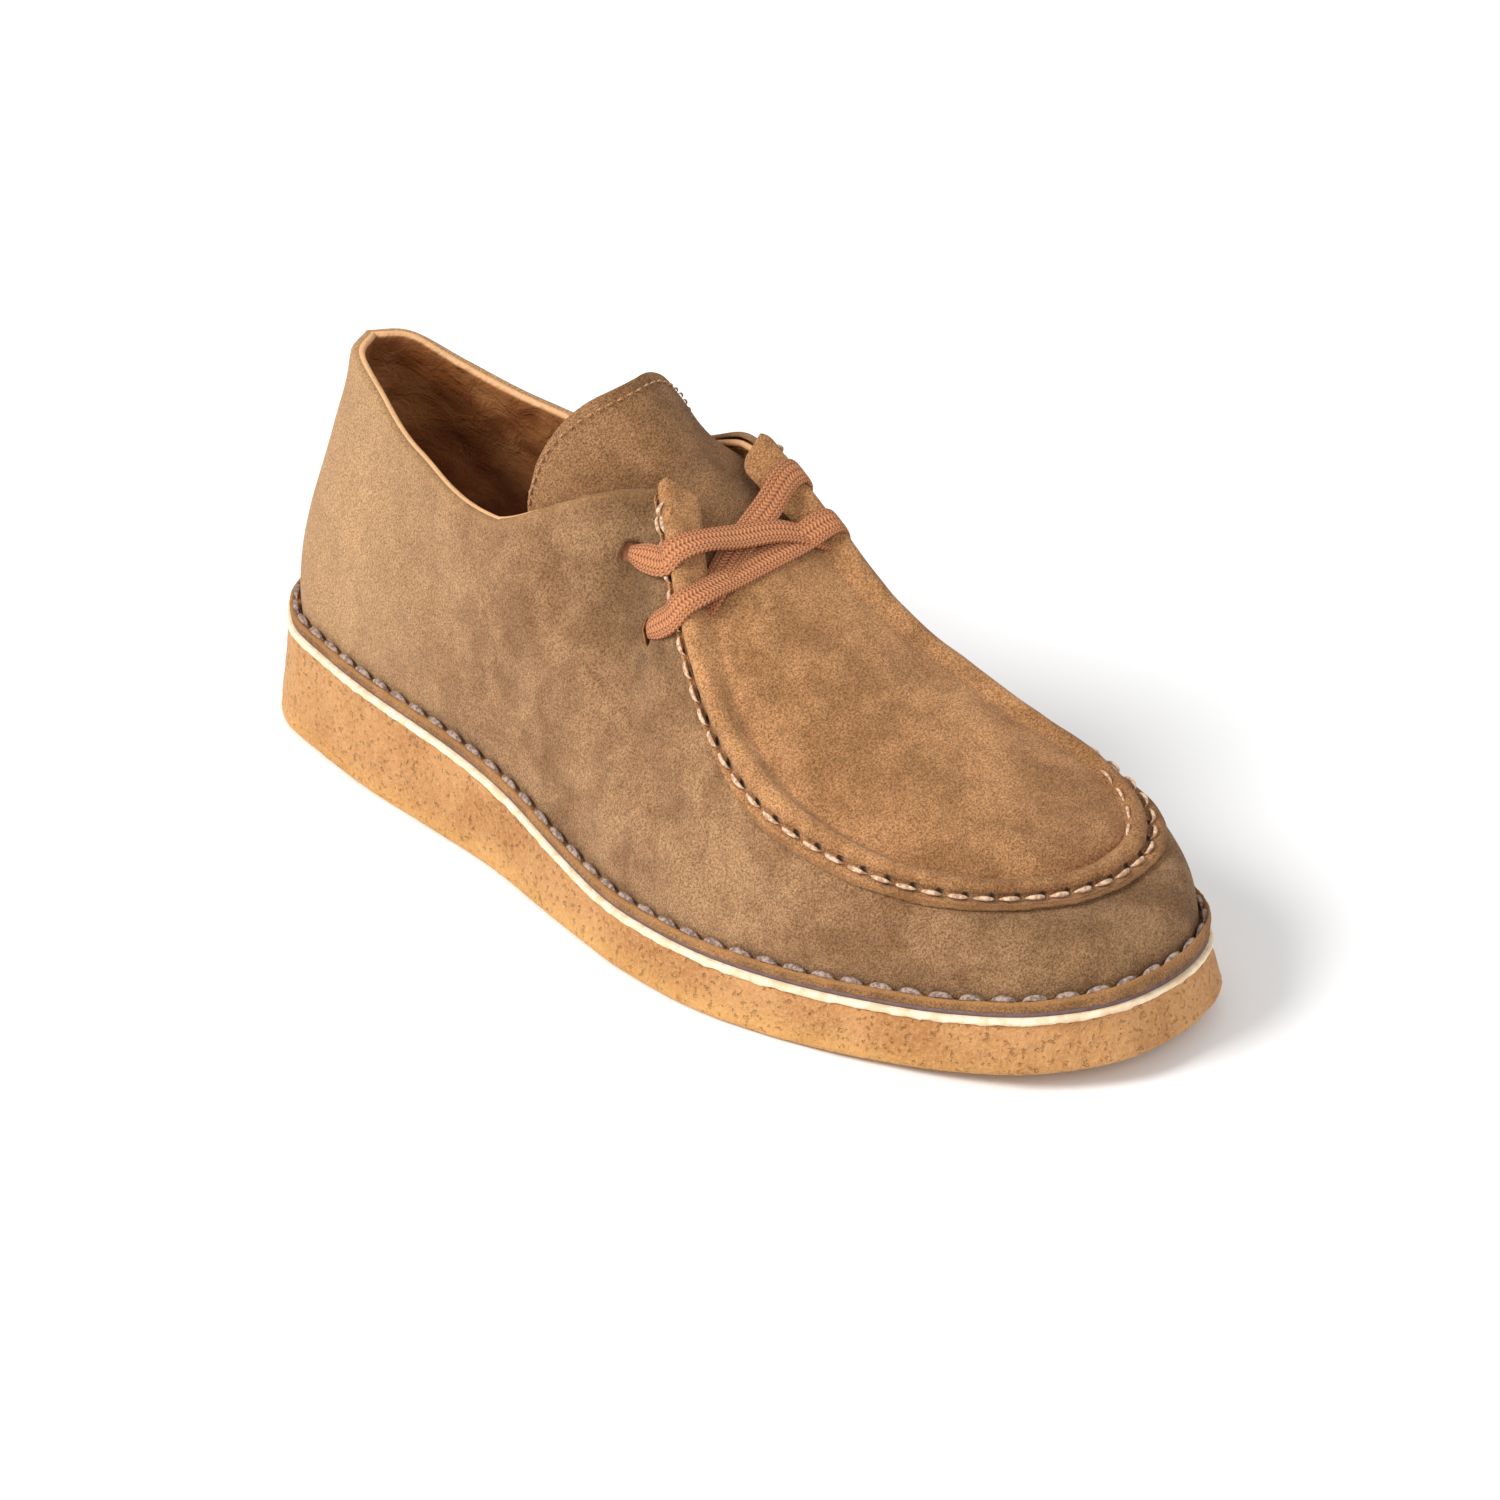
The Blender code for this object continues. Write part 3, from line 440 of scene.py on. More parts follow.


# Welt strip
# The upper's suede is turned out over the sole and stitched down. Its cut edge shows as a fuzzy strip
# all round, over a thin dark layer of cement that is also painted shade for the gap under the strip,
# and at the toe the strip curls up like a lip.

UPPER_INSET = 0.0046
UPPER_WALL = 0.0018
WELT_INSET = 0.0014
WELT_THICKNESS = 0.0034
COLLAR = (
    (0.000, 0.060, 0.008, 1.000, 0.060, 0.008, 1.000), (0.100, 0.084, -0.146, 1.030, 0.083, 0.140, 0.900),
    (0.200, 0.136, -0.242, 0.810, 0.134, 0.229, 0.400), (0.300, 0.216, -0.335, 0.160, 0.216, 0.300, 0.000),
    (0.400, 0.336, -0.392, 0.020, 0.329, 0.360, 0.070), (0.450, 0.409, -0.302, 0.630, 0.402, 0.350, 0.570),
    (0.475, 0.444, -0.215, 0.890, 0.439, 0.322, 0.855), (0.500, 0.476, -0.118, 1.000, 0.472, 0.278, 1.000),
)
SEAM = (
    (0.500, 0.476, -0.118, 1.000, 0.472, 0.278, 1.000), (0.550, 0.559, -0.250, 0.668, 0.562, 0.256, 0.735),
    (0.600, 0.629, -0.329, 0.428, 0.636, 0.273, 0.517), (0.650, 0.692, -0.354, 0.285, 0.702, 0.324, 0.370),
    (0.700, 0.752, -0.329, 0.195, 0.766, 0.367, 0.259), (0.750, 0.801, -0.286, 0.134, 0.816, 0.395, 0.180),
    (0.800, 0.841, -0.223, 0.087, 0.854, 0.392, 0.113), (0.850, 0.874, -0.144, 0.052, 0.881, 0.360, 0.070),
    (0.900, 0.896, -0.059, 0.026, 0.902, 0.308, 0.039), (0.950, 0.912, 0.032, 0.008, 0.914, 0.246, 0.013),
    (1.000, 0.919, 0.134, 0.000, 0.919, 0.134, 0.000),
)
WALL = (
    (0.00, 0.33, 0.010, 0.33, 0.048), (0.10, 0.33, 0.012, 0.33, 0.044), (0.20, 0.33, 0.014, 0.33, 0.045),
    (0.40, 0.33, 0.018, 0.33, 0.040), (0.50, 0.32, 0.018, 0.25, 0.120), (0.60, 0.35, 0.027, 0.25, 0.075),
    (0.70, 0.40, 0.027, 0.20, 0.050), (0.85, 0.50, 0.022, 0.06, 0.082), (1.00, 0.60, 0.020, 0.04, 0.095),
)
LOW_RISE, HEEL_RISE, INSTEP_RISE, TOE_RISE = 0.0672, 0.0775, 0.0928, 0.0185
THROAT = 0.50
UP = np.array([0.0, 0.0, 1.0])


def unit(vectors):
    return vectors / np.maximum(np.linalg.norm(vectors, axis=-1, keepdims=True), 1e-12)


def seat(y):
    """Height on which the suede is stitched down."""
    return crepe_top(y) + 2 * LAYER_GAP + CREAM_THICKNESS


def foot_of(side, stations):
    plan = edge(UPPER_INSET, side, stations)
    return np.column_stack((plan, seat(plan[:, 1])))


def top_of(side, stations):
    """The wall's top edge: the collar, and in front of it the stitch line of the raised seam."""
    column = 1 if side == LATERAL else 4
    collar, seam = np.array(COLLAR), np.array(SEAM)
    heel = smooth(collar[:, 0], collar[:, column:column + 3], stations)
    toe = smooth(seam[:, 0], seam[:, column:column + 3], stations)
    base = np.where(stations < THROAT, LOW_RISE, TOE_RISE)
    back_top = np.where(stations <= 0.40, HEEL_RISE, INSTEP_RISE)
    values = np.where((stations < THROAT)[:, None], heel, toe)
    reach = np.where(stations < THROAT, back_top, INSTEP_RISE)
    plan = in_plan(values[:, 0], values[:, 1])
    z = seat(edge(UPPER_INSET, side, stations)[:, 1]) + base + values[:, 2] * (reach - base)
    return np.column_stack((plan, z))


def out_of(side, stations):
    """Plan directions out of the sole."""
    step = 0.004
    other = -side
    before = np.where((stations > step)[:, None], edge(UPPER_INSET, side, stations - step),
                      edge(UPPER_INSET, other, np.full(len(stations), step)))
    after = np.where((stations < 1 - step)[:, None], edge(UPPER_INSET, side, stations + step),
                     edge(UPPER_INSET, other, np.full(len(stations), 1 - step)))
    tangent = unit(after - before)
    return side * np.column_stack((-tangent[:, 1], tangent[:, 0], np.zeros(len(stations))))


def wall(side, stations, shares):
    """Points of the upper's outer surface, stations by shares of the wall's height."""
    stations = np.atleast_1d(np.asarray(stations, float))
    shares = np.asarray(shares, float)
    foot_rise, foot_out, top_drop, top_out = read(WALL, stations).T
    foot, top, out = foot_of(side, stations), top_of(side, stations), out_of(side, stations)
    height = (top - foot)[:, 2]
    low = foot + out * (foot_out * BALL_WIDTH)[:, None] + UP * (foot_rise * height)[:, None]
    high = top + out * (top_out * BALL_WIDTH)[:, None] - UP * (top_drop * height)[:, None]
    t = (shares if shares.ndim > 1 else shares[None, :])[..., None]
    foot, low, high, top = foot[:, None], low[:, None], high[:, None], top[:, None]
    return (1 - t)**3 * foot + 3 * (1 - t)**2 * t * low + 3 * (1 - t) * t**2 * high + t**3 * top


def below(side, stations, distance):
    """Points of the wall at a distance down from its top edge."""
    stations = np.atleast_1d(np.asarray(stations, float))
    distance = np.broadcast_to(distance, stations.shape)
    samples = wall(side, stations, np.linspace(1, 0, 61))
    lengths = lengths_across(samples)
    return np.array([[np.interp(d, length, line[:, axis]) for axis in range(3)]
                     for d, length, line in zip(distance, lengths, samples)])


def loop_of(function, count):
    """A function of side and stations read all round, as a closed loop of columns."""
    stations, sides = around(count)
    half = count // 2 + 1
    lateral, medial = function(LATERAL, stations[:half]), function(MEDIAL, stations[half:])
    return closed(np.concatenate((lateral, medial)))


def normals(points, around_too=False):
    """Directions out of a grid of points."""
    if around_too:
        wide = np.concatenate((points[-2:-1], points, points[1:2]))
        along = np.gradient(wide, axis=0)[1:-1]
    else:
        along = np.gradient(points, axis=0)
    return unit(np.cross(along, np.gradient(points, axis=1)))


def suede(name, light, dark):
    """Napped suede: light and dark areas where the nap lies differently, and a fine sandy grain."""
    look = Finish(name, 0.96, Specular_IOR_Level=0.12, Sheen_Weight=0.12, Sheen_Roughness=0.45)
    look.shader.inputs["Sheen Tint"].default_value = (1.0, 0.86, 0.68, 1)
    broad = look.lumps(0.030, 3.0, 0.62, twist=0.6)
    patch = look.lumps(0.0085, 3.0, 0.60, twist=0.4)
    nap = look.lumps(0.00060, 3.0, 0.72)
    sand = look.lumps(0.00034, 1.0, 0.5)
    share = look.ramp(broad * 0.62 + patch * 0.38, 0.36, 0.64)
    colour = look.mix(share, dark, light)
    look.speck = speck = look.ramp(nap * 0.65 + sand * 0.35, 0.36, 0.64)
    colour = look.shade(colour, 0.52 + speck * 0.92)
    height = nap * 0.75 + sand * 0.35 + patch * 1.5
    return look, colour, height


strip, strip_colour, strip_height = suede("welt_suede", (0.40, 0.200, 0.080), (0.22, 0.105, 0.042))
across = strip.axes(strip.place("UV"))[1]
edge_on = strip.ramp(abs(across - 0.52), 0.20, 0.10)
strip_colour = strip.mix(edge_on * 0.55, strip_colour, (0.46, 0.215, 0.070))
# Painted shade: the strip is darker in the crease where it meets the wall.
crease_shade = strip.ramp(across, 0.86, 0.97)
strip_colour = strip.shade(strip_colour, 1 - crease_shade * 0.55)
strip_look = strip.finish(strip_colour, strip_height, 0.0007)

LIP = ((0.00, 0.0002), (0.45, 0.0002), (0.70, 0.0003), (0.88, 0.0006), (0.97, 0.0016), (1.00, 0.0019))
LIP_MEDIAL = ((0.00, 0.0002), (0.45, 0.0004), (0.60, 0.0012), (0.75, 0.0020), (0.90, 0.0030), (1.00, 0.0019))
DARK_LAYER = ((0.00, 0.0002), (0.40, 0.0002), (0.62, 0.0006), (0.80, 0.0009), (1.00, 0.0010))


def welt_profile(side, stations):
    """Section of the strip, from its underside round the cut edge to the crease at the wall's foot."""
    foot, out = foot_of(side, stations), out_of(side, stations)
    lip = read(LIP if side == LATERAL else LIP_MEDIAL, stations)[:, 0]
    raise_by = read(DARK_LAYER, stations)[:, 0]
    outer = UPPER_INSET - WELT_INSET
    body = wall(side, stations, np.linspace(0, 1, 41))
    rise = (body[..., 2] - foot[:, None, 2])
    push = np.sum((body - foot[:, None]) * out[:, None], axis=2)
    reach = np.array([np.interp(0.0030, line, far) for line, far in zip(rise, push)])
    points = []
    thick = WELT_THICKNESS - 0.0006
    shape = ((-1.0, 0.0, 0), (0.60, 0.0, 0), (0.90, 0.03, 0), (0.98, 0.18, 1), (1.0, 0.40, 1), (1.0, 0.62, 1),
             (0.96, 0.84, 1), (0.88, 0.97, 1), (0.76, 1.00, 1), (0.62, 0.96, 0.8), (0.48, 0.88, 0.5),
             (0.34, 0.78, 0.3), (0.18, 0.70, 0.1), (0.0, 0.66, 0.0), (-0.3, 0.66, 0.0))
    for across, height, lifted in shape:
        distance = reach + 0.0002 + (outer - reach) * across if across >= 0 else reach + across * 0.0020
        z = raise_by + thick * height + lip * lifted
        points.append(foot + out * distance[:, None] + UP * z[:, None])
    return np.stack(points, axis=1)


WELT_COLUMNS = 900
points = loop_of(welt_profile, WELT_COLUMNS)
spread = normals(points, True)
ragged = lumps_on(points[:-1], (0.00020, 0.0016, 0), (0.00010, 0.0006, 0), (0.00022, 0.009, 0))
points += spread * closed(ragged)[..., None]
form = shell(points)
welt = piece("welt_strip", form, [strip_look])
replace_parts(welt, "welt")

# The dark line's colour is cement's, made darker as painted shade of the gap under the raised strip.
cement = Finish("edge_cement_and_gap_shade", 0.8)
cement_and_gap_shade = cement.mix(cement.lumps(0.002), (0.10, 0.055, 0.055), (0.21, 0.14, 0.135))
cement_look = cement.finish(cement_and_gap_shade, cement.lumps(0.0006), 0.0003)


def cement_profile(side, stations):
    """Section of the dark line, cement darkened as painted shade of the gap: its faces and, all round, its
    edge just inside the welt's.
    """
    foot, out = foot_of(side, stations), out_of(side, stations)
    raise_by = read(DARK_LAYER, stations)[:, 0]
    points = []
    section = ((0.2, -0.0004), (0.90, -0.0004), (0.98, 0.0), (0.98, 0.8), (0.90, 1.0), (0.2, 1.0))
    for across, height in section:
        z = height * raise_by + 0.0002 if height >= 0 else np.full(len(stations), height)
        points.append(foot + out * ((UPPER_INSET - WELT_INSET) * across) + UP * z[:, None])
    return np.stack(points, axis=1)


points = loop_of(cement_profile, SOLE_COLUMNS)
form = shell(points)
piece("edge_cement_and_gap_shade", form, [cement_look])


# Welt stitches
# Thick waxed thread, grey-mauve, lies in the crease where the wall meets the strip. Each stitch dives
# into a hole at both ends.

STITCH_PITCH = 0.0080


def threads(stitches):
    """Joined stitches, each a short bent length of thread that dives into a hole at both ends.

    A stitch is its start, its end, the way out, the thread's radius, the rise and the ends' sink.
    """
    ball = bmesh.new()
    bmesh.ops.create_uvsphere(ball, u_segments=8, v_segments=9, radius=1.0)
    ball.verts.index_update()
    x, y, z = np.array([vert.co[:] for vert in ball.verts]).T
    # Sorted, because Blender makes the ball's faces in another order each time
    faces = sorted([vert.index for vert in face.verts] for face in ball.faces)
    ball.free()
    t = ((z + 1) / 2)[:, None]
    bend = np.sin(math.pi * t)
    points, sides = [], []
    for start, end, out, thick, rise, sink in stitches:
        run = end - start
        side = unit(np.cross(run, np.array(out, float)))
        out = unit(np.cross(side, run))
        width = thick * (0.55 + 0.45 * np.minimum(bend * 2.2, 1.0))
        lift = rise * bend - sink * (1 - np.minimum(bend * 2.5, 1.0))
        sides += [[index + len(x) * len(points) for index in face] for face in faces]
        points.append(start + run * t + out * (lift + y[:, None] * width * 0.8) + side * x[:, None] * width)
    mesh = bpy.data.meshes.new("stitches")
    mesh.from_pydata(np.concatenate(points).tolist(), [], sides)
    form = bmesh.new()
    form.from_mesh(mesh)
    bpy.data.meshes.remove(mesh)
    return form


def sew(spots, gap, thick, rise, sink):
    """Stitches from each place of a line to the next, with a gap at both ends as a share of the pitch."""
    stitches = []
    for start, end in zip(spots, spots[1:]):
        run = end[:3] - start[:3]
        stitches.append((start[:3] + run * gap, end[:3] - run * gap, start[3:], thick, rise, sink))
    return stitches


def along_line(points, pitch, first=0.0):
    """Evenly spaced places along a line; a row is a point and what goes with it, such as its way out."""
    lengths = lengths_along(points[:, :3])
    marks = np.arange(first, lengths[-1], pitch)
    return np.column_stack([np.interp(marks, lengths, points[:, axis]) for axis in range(points.shape[1])])


def twisted(name, colour, dark, twist=0.0011):
    """Waxed thread: two strands laid round each other."""
    look = Finish(name, 0.55, Specular_IOR_Level=0.4, Sheen_Weight=0.1)
    lumps = look.lumps(twist, 1.0)
    shade = look.mix(look.ramp(lumps, 0.35, 0.62), dark, colour)
    return look.finish(shade, lumps + look.lumps(0.0004), 0.0005)


mauve = twisted("welt_thread", (0.46, 0.33, 0.265), (0.20, 0.13, 0.105))
line = loop_of(lambda side, stations: np.concatenate((welt_profile(side, stations)[:, 10] + UP * 0.0004,
                                                      out_of(side, stations) * 0.35 + UP), axis=1), 1200)
spots = along_line(line, STITCH_PITCH)
stitches = sew(spots, 0.07, 0.00085, 0.00070, 0.0008)
piece("welt_stitches", threads(stitches), [mauve])


# Footbed
# A leather board with a pale smooth cover lies inside on the sole. Round the heel its edge stands up
# like a cup.

bed = Finish("footbed_leather", 0.6, Specular_IOR_Level=0.35)
pores = bed.lumps(0.0007, 2.0)
skin = bed.mix(bed.ramp(bed.lumps(0.018, 3.0), 0.35, 0.65), (0.62, 0.40, 0.27), (0.74, 0.52, 0.38))
bed_look = bed.finish(bed.shade(skin, 0.94 + pores * 0.12), pores, 0.0002)

BED_INSET = UPPER_INSET + UPPER_WALL + 0.0009
BED_THICKNESS = 0.0030
CUP = 0.0125
# The cupped edge's section: distance in from the wall, and share of the cup's height
BED_SECTION = (
    (0.0, 0.0), (0.0, 0.9), (0.0005, 1.0), (0.0020, 0.98), (0.006, 0.72), (0.011, 0.48), (0.016, 0.40),
)


def bed_height(y, share):
    """Height of the footbed's top, cupped round the heel."""
    return seat(y) + BED_THICKNESS + share * CUP * ease(-0.02, 0.06, y)


rings = []
for inset, share in BED_SECTION:
    ring = closed(edge_loop(BED_INSET + inset, 400))
    rings.append(np.column_stack((ring, bed_height(ring[:, 1], share))))
band = np.stack(rings, axis=1)
low = across_sole(BED_INSET, 400, seat)
inset, share = BED_SECTION[-1]
high = across_sole(BED_INSET + inset, 400, lambda y: bed_height(y, share), 16)
form = join_sheets([sheet(part) for part in (band, low, high)])
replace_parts(piece("footbed", form, [bed_look]), "insole")


# Upper
# One piece of suede goes all round: heel, quarters and side walls. Its collar edge is turned in over
# a leather lining whose pale cut edge shows inside, and four plain holes are punched for the lace.

UPPER_COLUMNS = 640
WALL_SHARES = np.concatenate((np.linspace(0, 0.12, 7), np.linspace(0.12, 0.88, 40)[1:],
                              np.linspace(0.88, 1, 10)[1:]))
LOWER_HOLES = {LATERAL: (0.524, 0.018), MEDIAL: (0.536, 0.015)}
UPPER_HOLES = {LATERAL: (0.496, 0.016), MEDIAL: (0.508, 0.015)}
HOLE_RADIUS = 0.0021
EDGE_ROLL = 0.0014
SUEDE_THICKNESS = 0.0011
LINING_THICKNESS = 0.0006

# Soft creases of the walls: side, places as station and share of the height, width, and depth in metres
CREASES = (
    (LATERAL, ((0.44, 0.93), (0.455, 0.80), (0.465, 0.66)), 0.007, 0.0006),
    (LATERAL, ((0.47, 0.88), (0.50, 0.72), (0.53, 0.60), (0.57, 0.46)), 0.006, 0.0005),
    (LATERAL, ((0.55, 0.86), (0.58, 0.80), (0.62, 0.78), (0.66, 0.80)), 0.005, 0.0005),
    (LATERAL, ((0.34, 0.55), (0.38, 0.42), (0.42, 0.36)), 0.012, 0.0006),
    (LATERAL, ((0.58, 0.52), (0.62, 0.45), (0.66, 0.42)), 0.008, 0.0005),
    (LATERAL, ((0.20, 0.62), (0.25, 0.50), (0.31, 0.45)), 0.012, -0.0005),
    (LATERAL, ((0.485, 0.50), (0.50, 0.36), (0.52, 0.22)), 0.010, -0.0005),
    (MEDIAL, ((0.44, 0.90), (0.455, 0.74), (0.465, 0.60)), 0.007, 0.0006),
    (MEDIAL, ((0.52, 0.80), (0.55, 0.64), (0.60, 0.52)), 0.008, 0.0006),
    (MEDIAL, ((0.36, 0.55), (0.42, 0.40), (0.47, 0.36)), 0.012, 0.0006),
)


def distance_to(line, points):
    """Least distance from each point to a line of points."""
    best = np.full(points.shape[:-1], 1e9)
    for start, end in zip(line, line[1:]):
        run = end - start
        t = np.clip(((points - start) @ run) / (run @ run), 0, 1)[..., None]
        best = np.minimum(best, np.linalg.norm(points - start - run * t, axis=-1))
    return best


def wall_rows(side, stations):
    """Wall from its foot to the top edge, and on over the rolled edge."""
    body = wall(side, stations, WALL_SHARES)
    down = unit(body[:, -2] - body[:, -1])
    out = out_of(side, stations)
    roll = []
    for angle in np.radians((25, 50, 75, 100, 125, 150, 175)):
        across, over = EDGE_ROLL * (1 - math.cos(angle)), EDGE_ROLL * math.sin(angle) * 0.7
        roll.append(body[:, -1] - out * across - down * over)
    return np.concatenate((body, np.stack(roll, axis=1)), axis=1)


points = loop_of(wall_rows, UPPER_COLUMNS)
spread = normals(points, True)
inward = np.sum(spread[:, 20] * (points[:, 20] * np.array([1, 1, 0])), axis=1) < 0
spread = -spread if inward.mean() > 0.5 else spread
flat = points[:, :len(WALL_SHARES)]
fade = 1 - ease(0.90, 1.0, WALL_SHARES)
depth = np.zeros(flat.shape[:2])
for side, places, width, deep in CREASES:
    line = np.array([wall(side, [station], [share])[0, 0] for station, share in places])
    dense = np.array([smooth(np.arange(len(line)), line, t) for t in np.linspace(0, len(line) - 1, 14)])
    gap = distance_to(dense, flat)
    depth -= 1.7 * deep * (np.exp(-(gap / width) ** 2) - 0.45 * np.exp(-((gap - 1.9 * width) / width) ** 2))
depth += lumps_on(flat, (0.0010, 0.034, 0), (0.00035, 0.013, 5))
rise_from_foot = flat[..., 2] - flat[:, :1, 2]
depth *= fade * ease(0.001, 0.010, rise_from_foot)
points[:, :len(WALL_SHARES)] += spread[:, :len(WALL_SHARES)] * depth[..., None]
points[-1] = points[0]

hole_spots = []
for holes in (LOWER_HOLES, UPPER_HOLES):
    for side, (station, distance) in holes.items():
        hole_spots.append(below(side, [station], distance)[0])
lost = []
reach = 0.0065
for spot in hole_spots:
    gap = np.linalg.norm(points[:-1] - spot, axis=-1)
    i, j = np.unravel_index(gap.argmin(), gap.shape)
    centre = points[i, j].copy()
    lost.append(centre)
    offset = points - centre
    far = np.linalg.norm(offset, axis=-1, keepdims=True)
    pushed = HOLE_RADIUS * 0.62 + far * (reach - HOLE_RADIUS * 0.62) / reach
    near = (far < reach) & (far > 1e-7)
    points = np.where(near, centre + offset / np.maximum(far, 1e-9) * pushed, points)
    dent = np.exp(-(far / 0.0042) ** 2) * 0.0007
    points = points - spread * dent

length = lengths_along(points[:, 0])
rise = lengths_across(points)
top_row = len(WALL_SHARES) - 1
uv = np.stack((np.broadcast_to(length[:, None], rise.shape), rise - rise[:, top_row:top_row + 1]), axis=-1)
form = sheet(points, uv)
bmesh.ops.remove_doubles(form, verts=form.verts, dist=1e-6)
for centre in lost:
    near = min(form.verts, key=lambda vert: (vert.co - Vector(centre)).length)
    bmesh.ops.delete(form, geom=[near], context="VERTS")
bmesh.ops.recalc_face_normals(form, faces=form.faces)
middle = Vector((0, 0, 0.04))
if sum((face.calc_center_median() - middle).dot(face.normal) * face.calc_area() for face in form.faces) < 0:
    bmesh.ops.reverse_faces(form, faces=form.faces)

hide, hide_colour, hide_height = suede("upper_suede", (0.425, 0.236, 0.113), (0.245, 0.124, 0.055))
v = hide.axes(hide.place("UV"))[1]
rim = hide.ramp(v, -0.0030, 0.0004)
hide_colour = hide.mix(rim * 0.35, hide_colour, (0.42, 0.22, 0.085))
_, y, z = hide.axes(hide.place())
# Painted light: toward the heel the suede is mixed toward a lighter colour, where the light falls on the back
# of the shoe.
heel_light = hide.ramp(y, 0.03, 0.125, 0.0, 0.62)
heel_light_colour = hide.shade((0.60, 0.355, 0.178), 0.62 + hide.speck * 0.72)
hide_colour = hide.mix(heel_light, hide_colour, heel_light_colour)
# Painted shade: darker within 4 cm of a point at the throat, round the lace holes.
reach = (y + 0.008) * (y + 0.008) + (z - 0.098) * (z - 0.098)
hide_colour = hide.shade(hide_colour, hide.ramp(reach, 0.0, 0.0016, 0.66, 1.0))
# Painted shade: darker toward the toe.
hide_colour = hide.shade(hide_colour, hide.ramp(y, -0.138, -0.085, 0.80, 1.0))
hide_look = hide.finish(hide_colour, hide_height, 0.0008)


def leather(name, roughness, fold, patch):
    """Red-brown lining leather: the finish, its colour, its folds and its pores."""
    look = Finish(name, roughness, Specular_IOR_Level=0.4)
    folds = look.lumps(fold, 3.0, 0.6, twist=0.8)
    pores = look.lumps(0.0009, 2.0)
    area = look.ramp(look.lumps(patch, 2.0), 0.35, 0.65)
    tan = look.mix(area, (0.20, 0.062, 0.016), (0.40, 0.165, 0.055))
    return look, look.shade(tan, 0.86 + folds * 0.28), folds, pores


skin, tan, folds, pores = leather("lining_leather", 0.55, 0.010, 0.022)
skin_look = skin.finish(tan, folds * 2.0 + pores * 0.25, 0.0011)
wall_piece = piece("upper_walls", form, [hide_look, skin_look])
thicken(wall_piece, SUEDE_THICKNESS, inside=1, rim=1)
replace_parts(wall_piece, "upper")

# Collar lining: down the inside from the rolled edge, with its pale cut edge on top
LINING_COLUMNS = 420
# The cut edge's section: distance in from the collar's top edge, and height over it
LINING_EDGE = (
    (0.0022, -0.0020), (0.0023, 0.0002), (0.0025, 0.0006), (0.0030, 0.0008), (0.0035, 0.0006),
    (0.0037, -0.0002),
)


def lining_rows(side, stations):
    rolled = wall_rows(side, stations)
    body = rolled[:, :len(WALL_SHARES)]
    inward = -out_of(side, stations)
    top = body[:, -1] - UP * (0.0018 * ease(0.42, 0.475, stations))[:, None]
    rows = [top + inward * across + UP * rise for across, rise in LINING_EDGE]
    for share in np.linspace(0.97, 0.02, 34):
        at = wall(side, stations, [share])[:, 0]
        rows.append(at + inward * (0.0024 + 0.0013 * float(ease(0.6, 1.0, share))))
    return np.stack(rows, axis=1)


half = np.linspace(0, THROAT - 0.002, LINING_COLUMNS // 2)
lateral, medial = lining_rows(LATERAL, half), lining_rows(MEDIAL, half)
points = np.concatenate((lateral[::-1], medial[1:]))
spread = normals(points)
spread = -spread if (spread[:, 20] * points[:, 20] * np.array([1, 1, 0])).sum() > 0 else spread
drop = np.linspace(0, 1, points.shape[1])
lump = lumps_on(points, (0.0005, 0.011, 0), (0.0008, 0.028, 3))
points += spread * (lump * ease(0.15, 0.30, drop))[..., None]
form = sheet(points)
bmesh.ops.recalc_face_normals(form, faces=form.faces)
inner, tan, folds, pores = leather("collar_lining", 0.5, 0.009, 0.020)
v = inner.axes(inner.place("UV"))[1]
cut = inner.ramp(v, 0.135, 0.115)
tan = inner.mix(cut, tan, (0.74, 0.41, 0.19))
inner_look = inner.finish(tan, folds * 1.6 + pores * 0.25, 0.0010)
lining = piece("collar_lining", form, [inner_look])
thicken(lining, LINING_THICKNESS, 0)


# Apron and raised seam
# The apron lies on the forefoot. Its edge is folded over the turned-up edge of the walls into a round
# raised seam, with the raw edge below the stitches, and two arms of it go up beside the throat.

APRON_TOP = 0.543
RIDGE_WIDTH = 0.0065
RIDGE_HEIGHT = 0.0050
CROWN = 0.095
RIDGE = (
    (0.500, 1.10, 0.30, 2.10, 38), (0.530, 1.20, 0.58, 1.60, 35), (0.551, 1.30, 0.70, 1.30, 33),
    (0.580, 1.30, 0.62, 1.00, 31), (0.600, 1.30, 0.62, 0.85, 30), (0.700, 1.10, 0.50, 0.55, 22),
    (0.850, 0.92, 0.36, 0.34, 15), (1.000, 0.92, 0.34, 0.28, 12),
)
APRON_LIFT = 0.0019
APRON_THICKNESS = 0.0013
RAW_EDGE = 0.0038
GROOVE_DEPTH = 0.0008
# Below the stitches, the sheet's edge: share of the raw edge's distance, and share of the sheet's lift
FLANGE = (
    (1.06, 0.10), (1.06, 0.45), (1.00, 0.78), (0.86, 0.92), (0.66, 0.92), (0.46, 0.80), (0.28, 0.62),
    (0.14, 0.46),
)
# Above them, the roll: share of its width, share of its height, and share of the sheet's lift
ROLL = (
    (0.00, 0.04, 0.35), (0.05, 0.22, 0.45), (0.10, 0.45, 0.65), (0.17, 0.66, 0.85), (0.27, 0.86, 1.0),
    (0.40, 0.98, 1.0), (0.54, 0.97, 1.0), (0.66, 0.86, 1.0),
)
# Rows of the seam's section: at the stitches, on the crest, and inside above the groove
STITCH_ROW = len(FLANGE)
CREST_ROW = STITCH_ROW + 4
INNER_ROW = STITCH_ROW + 9
SEAM_PITCH = 0.0066


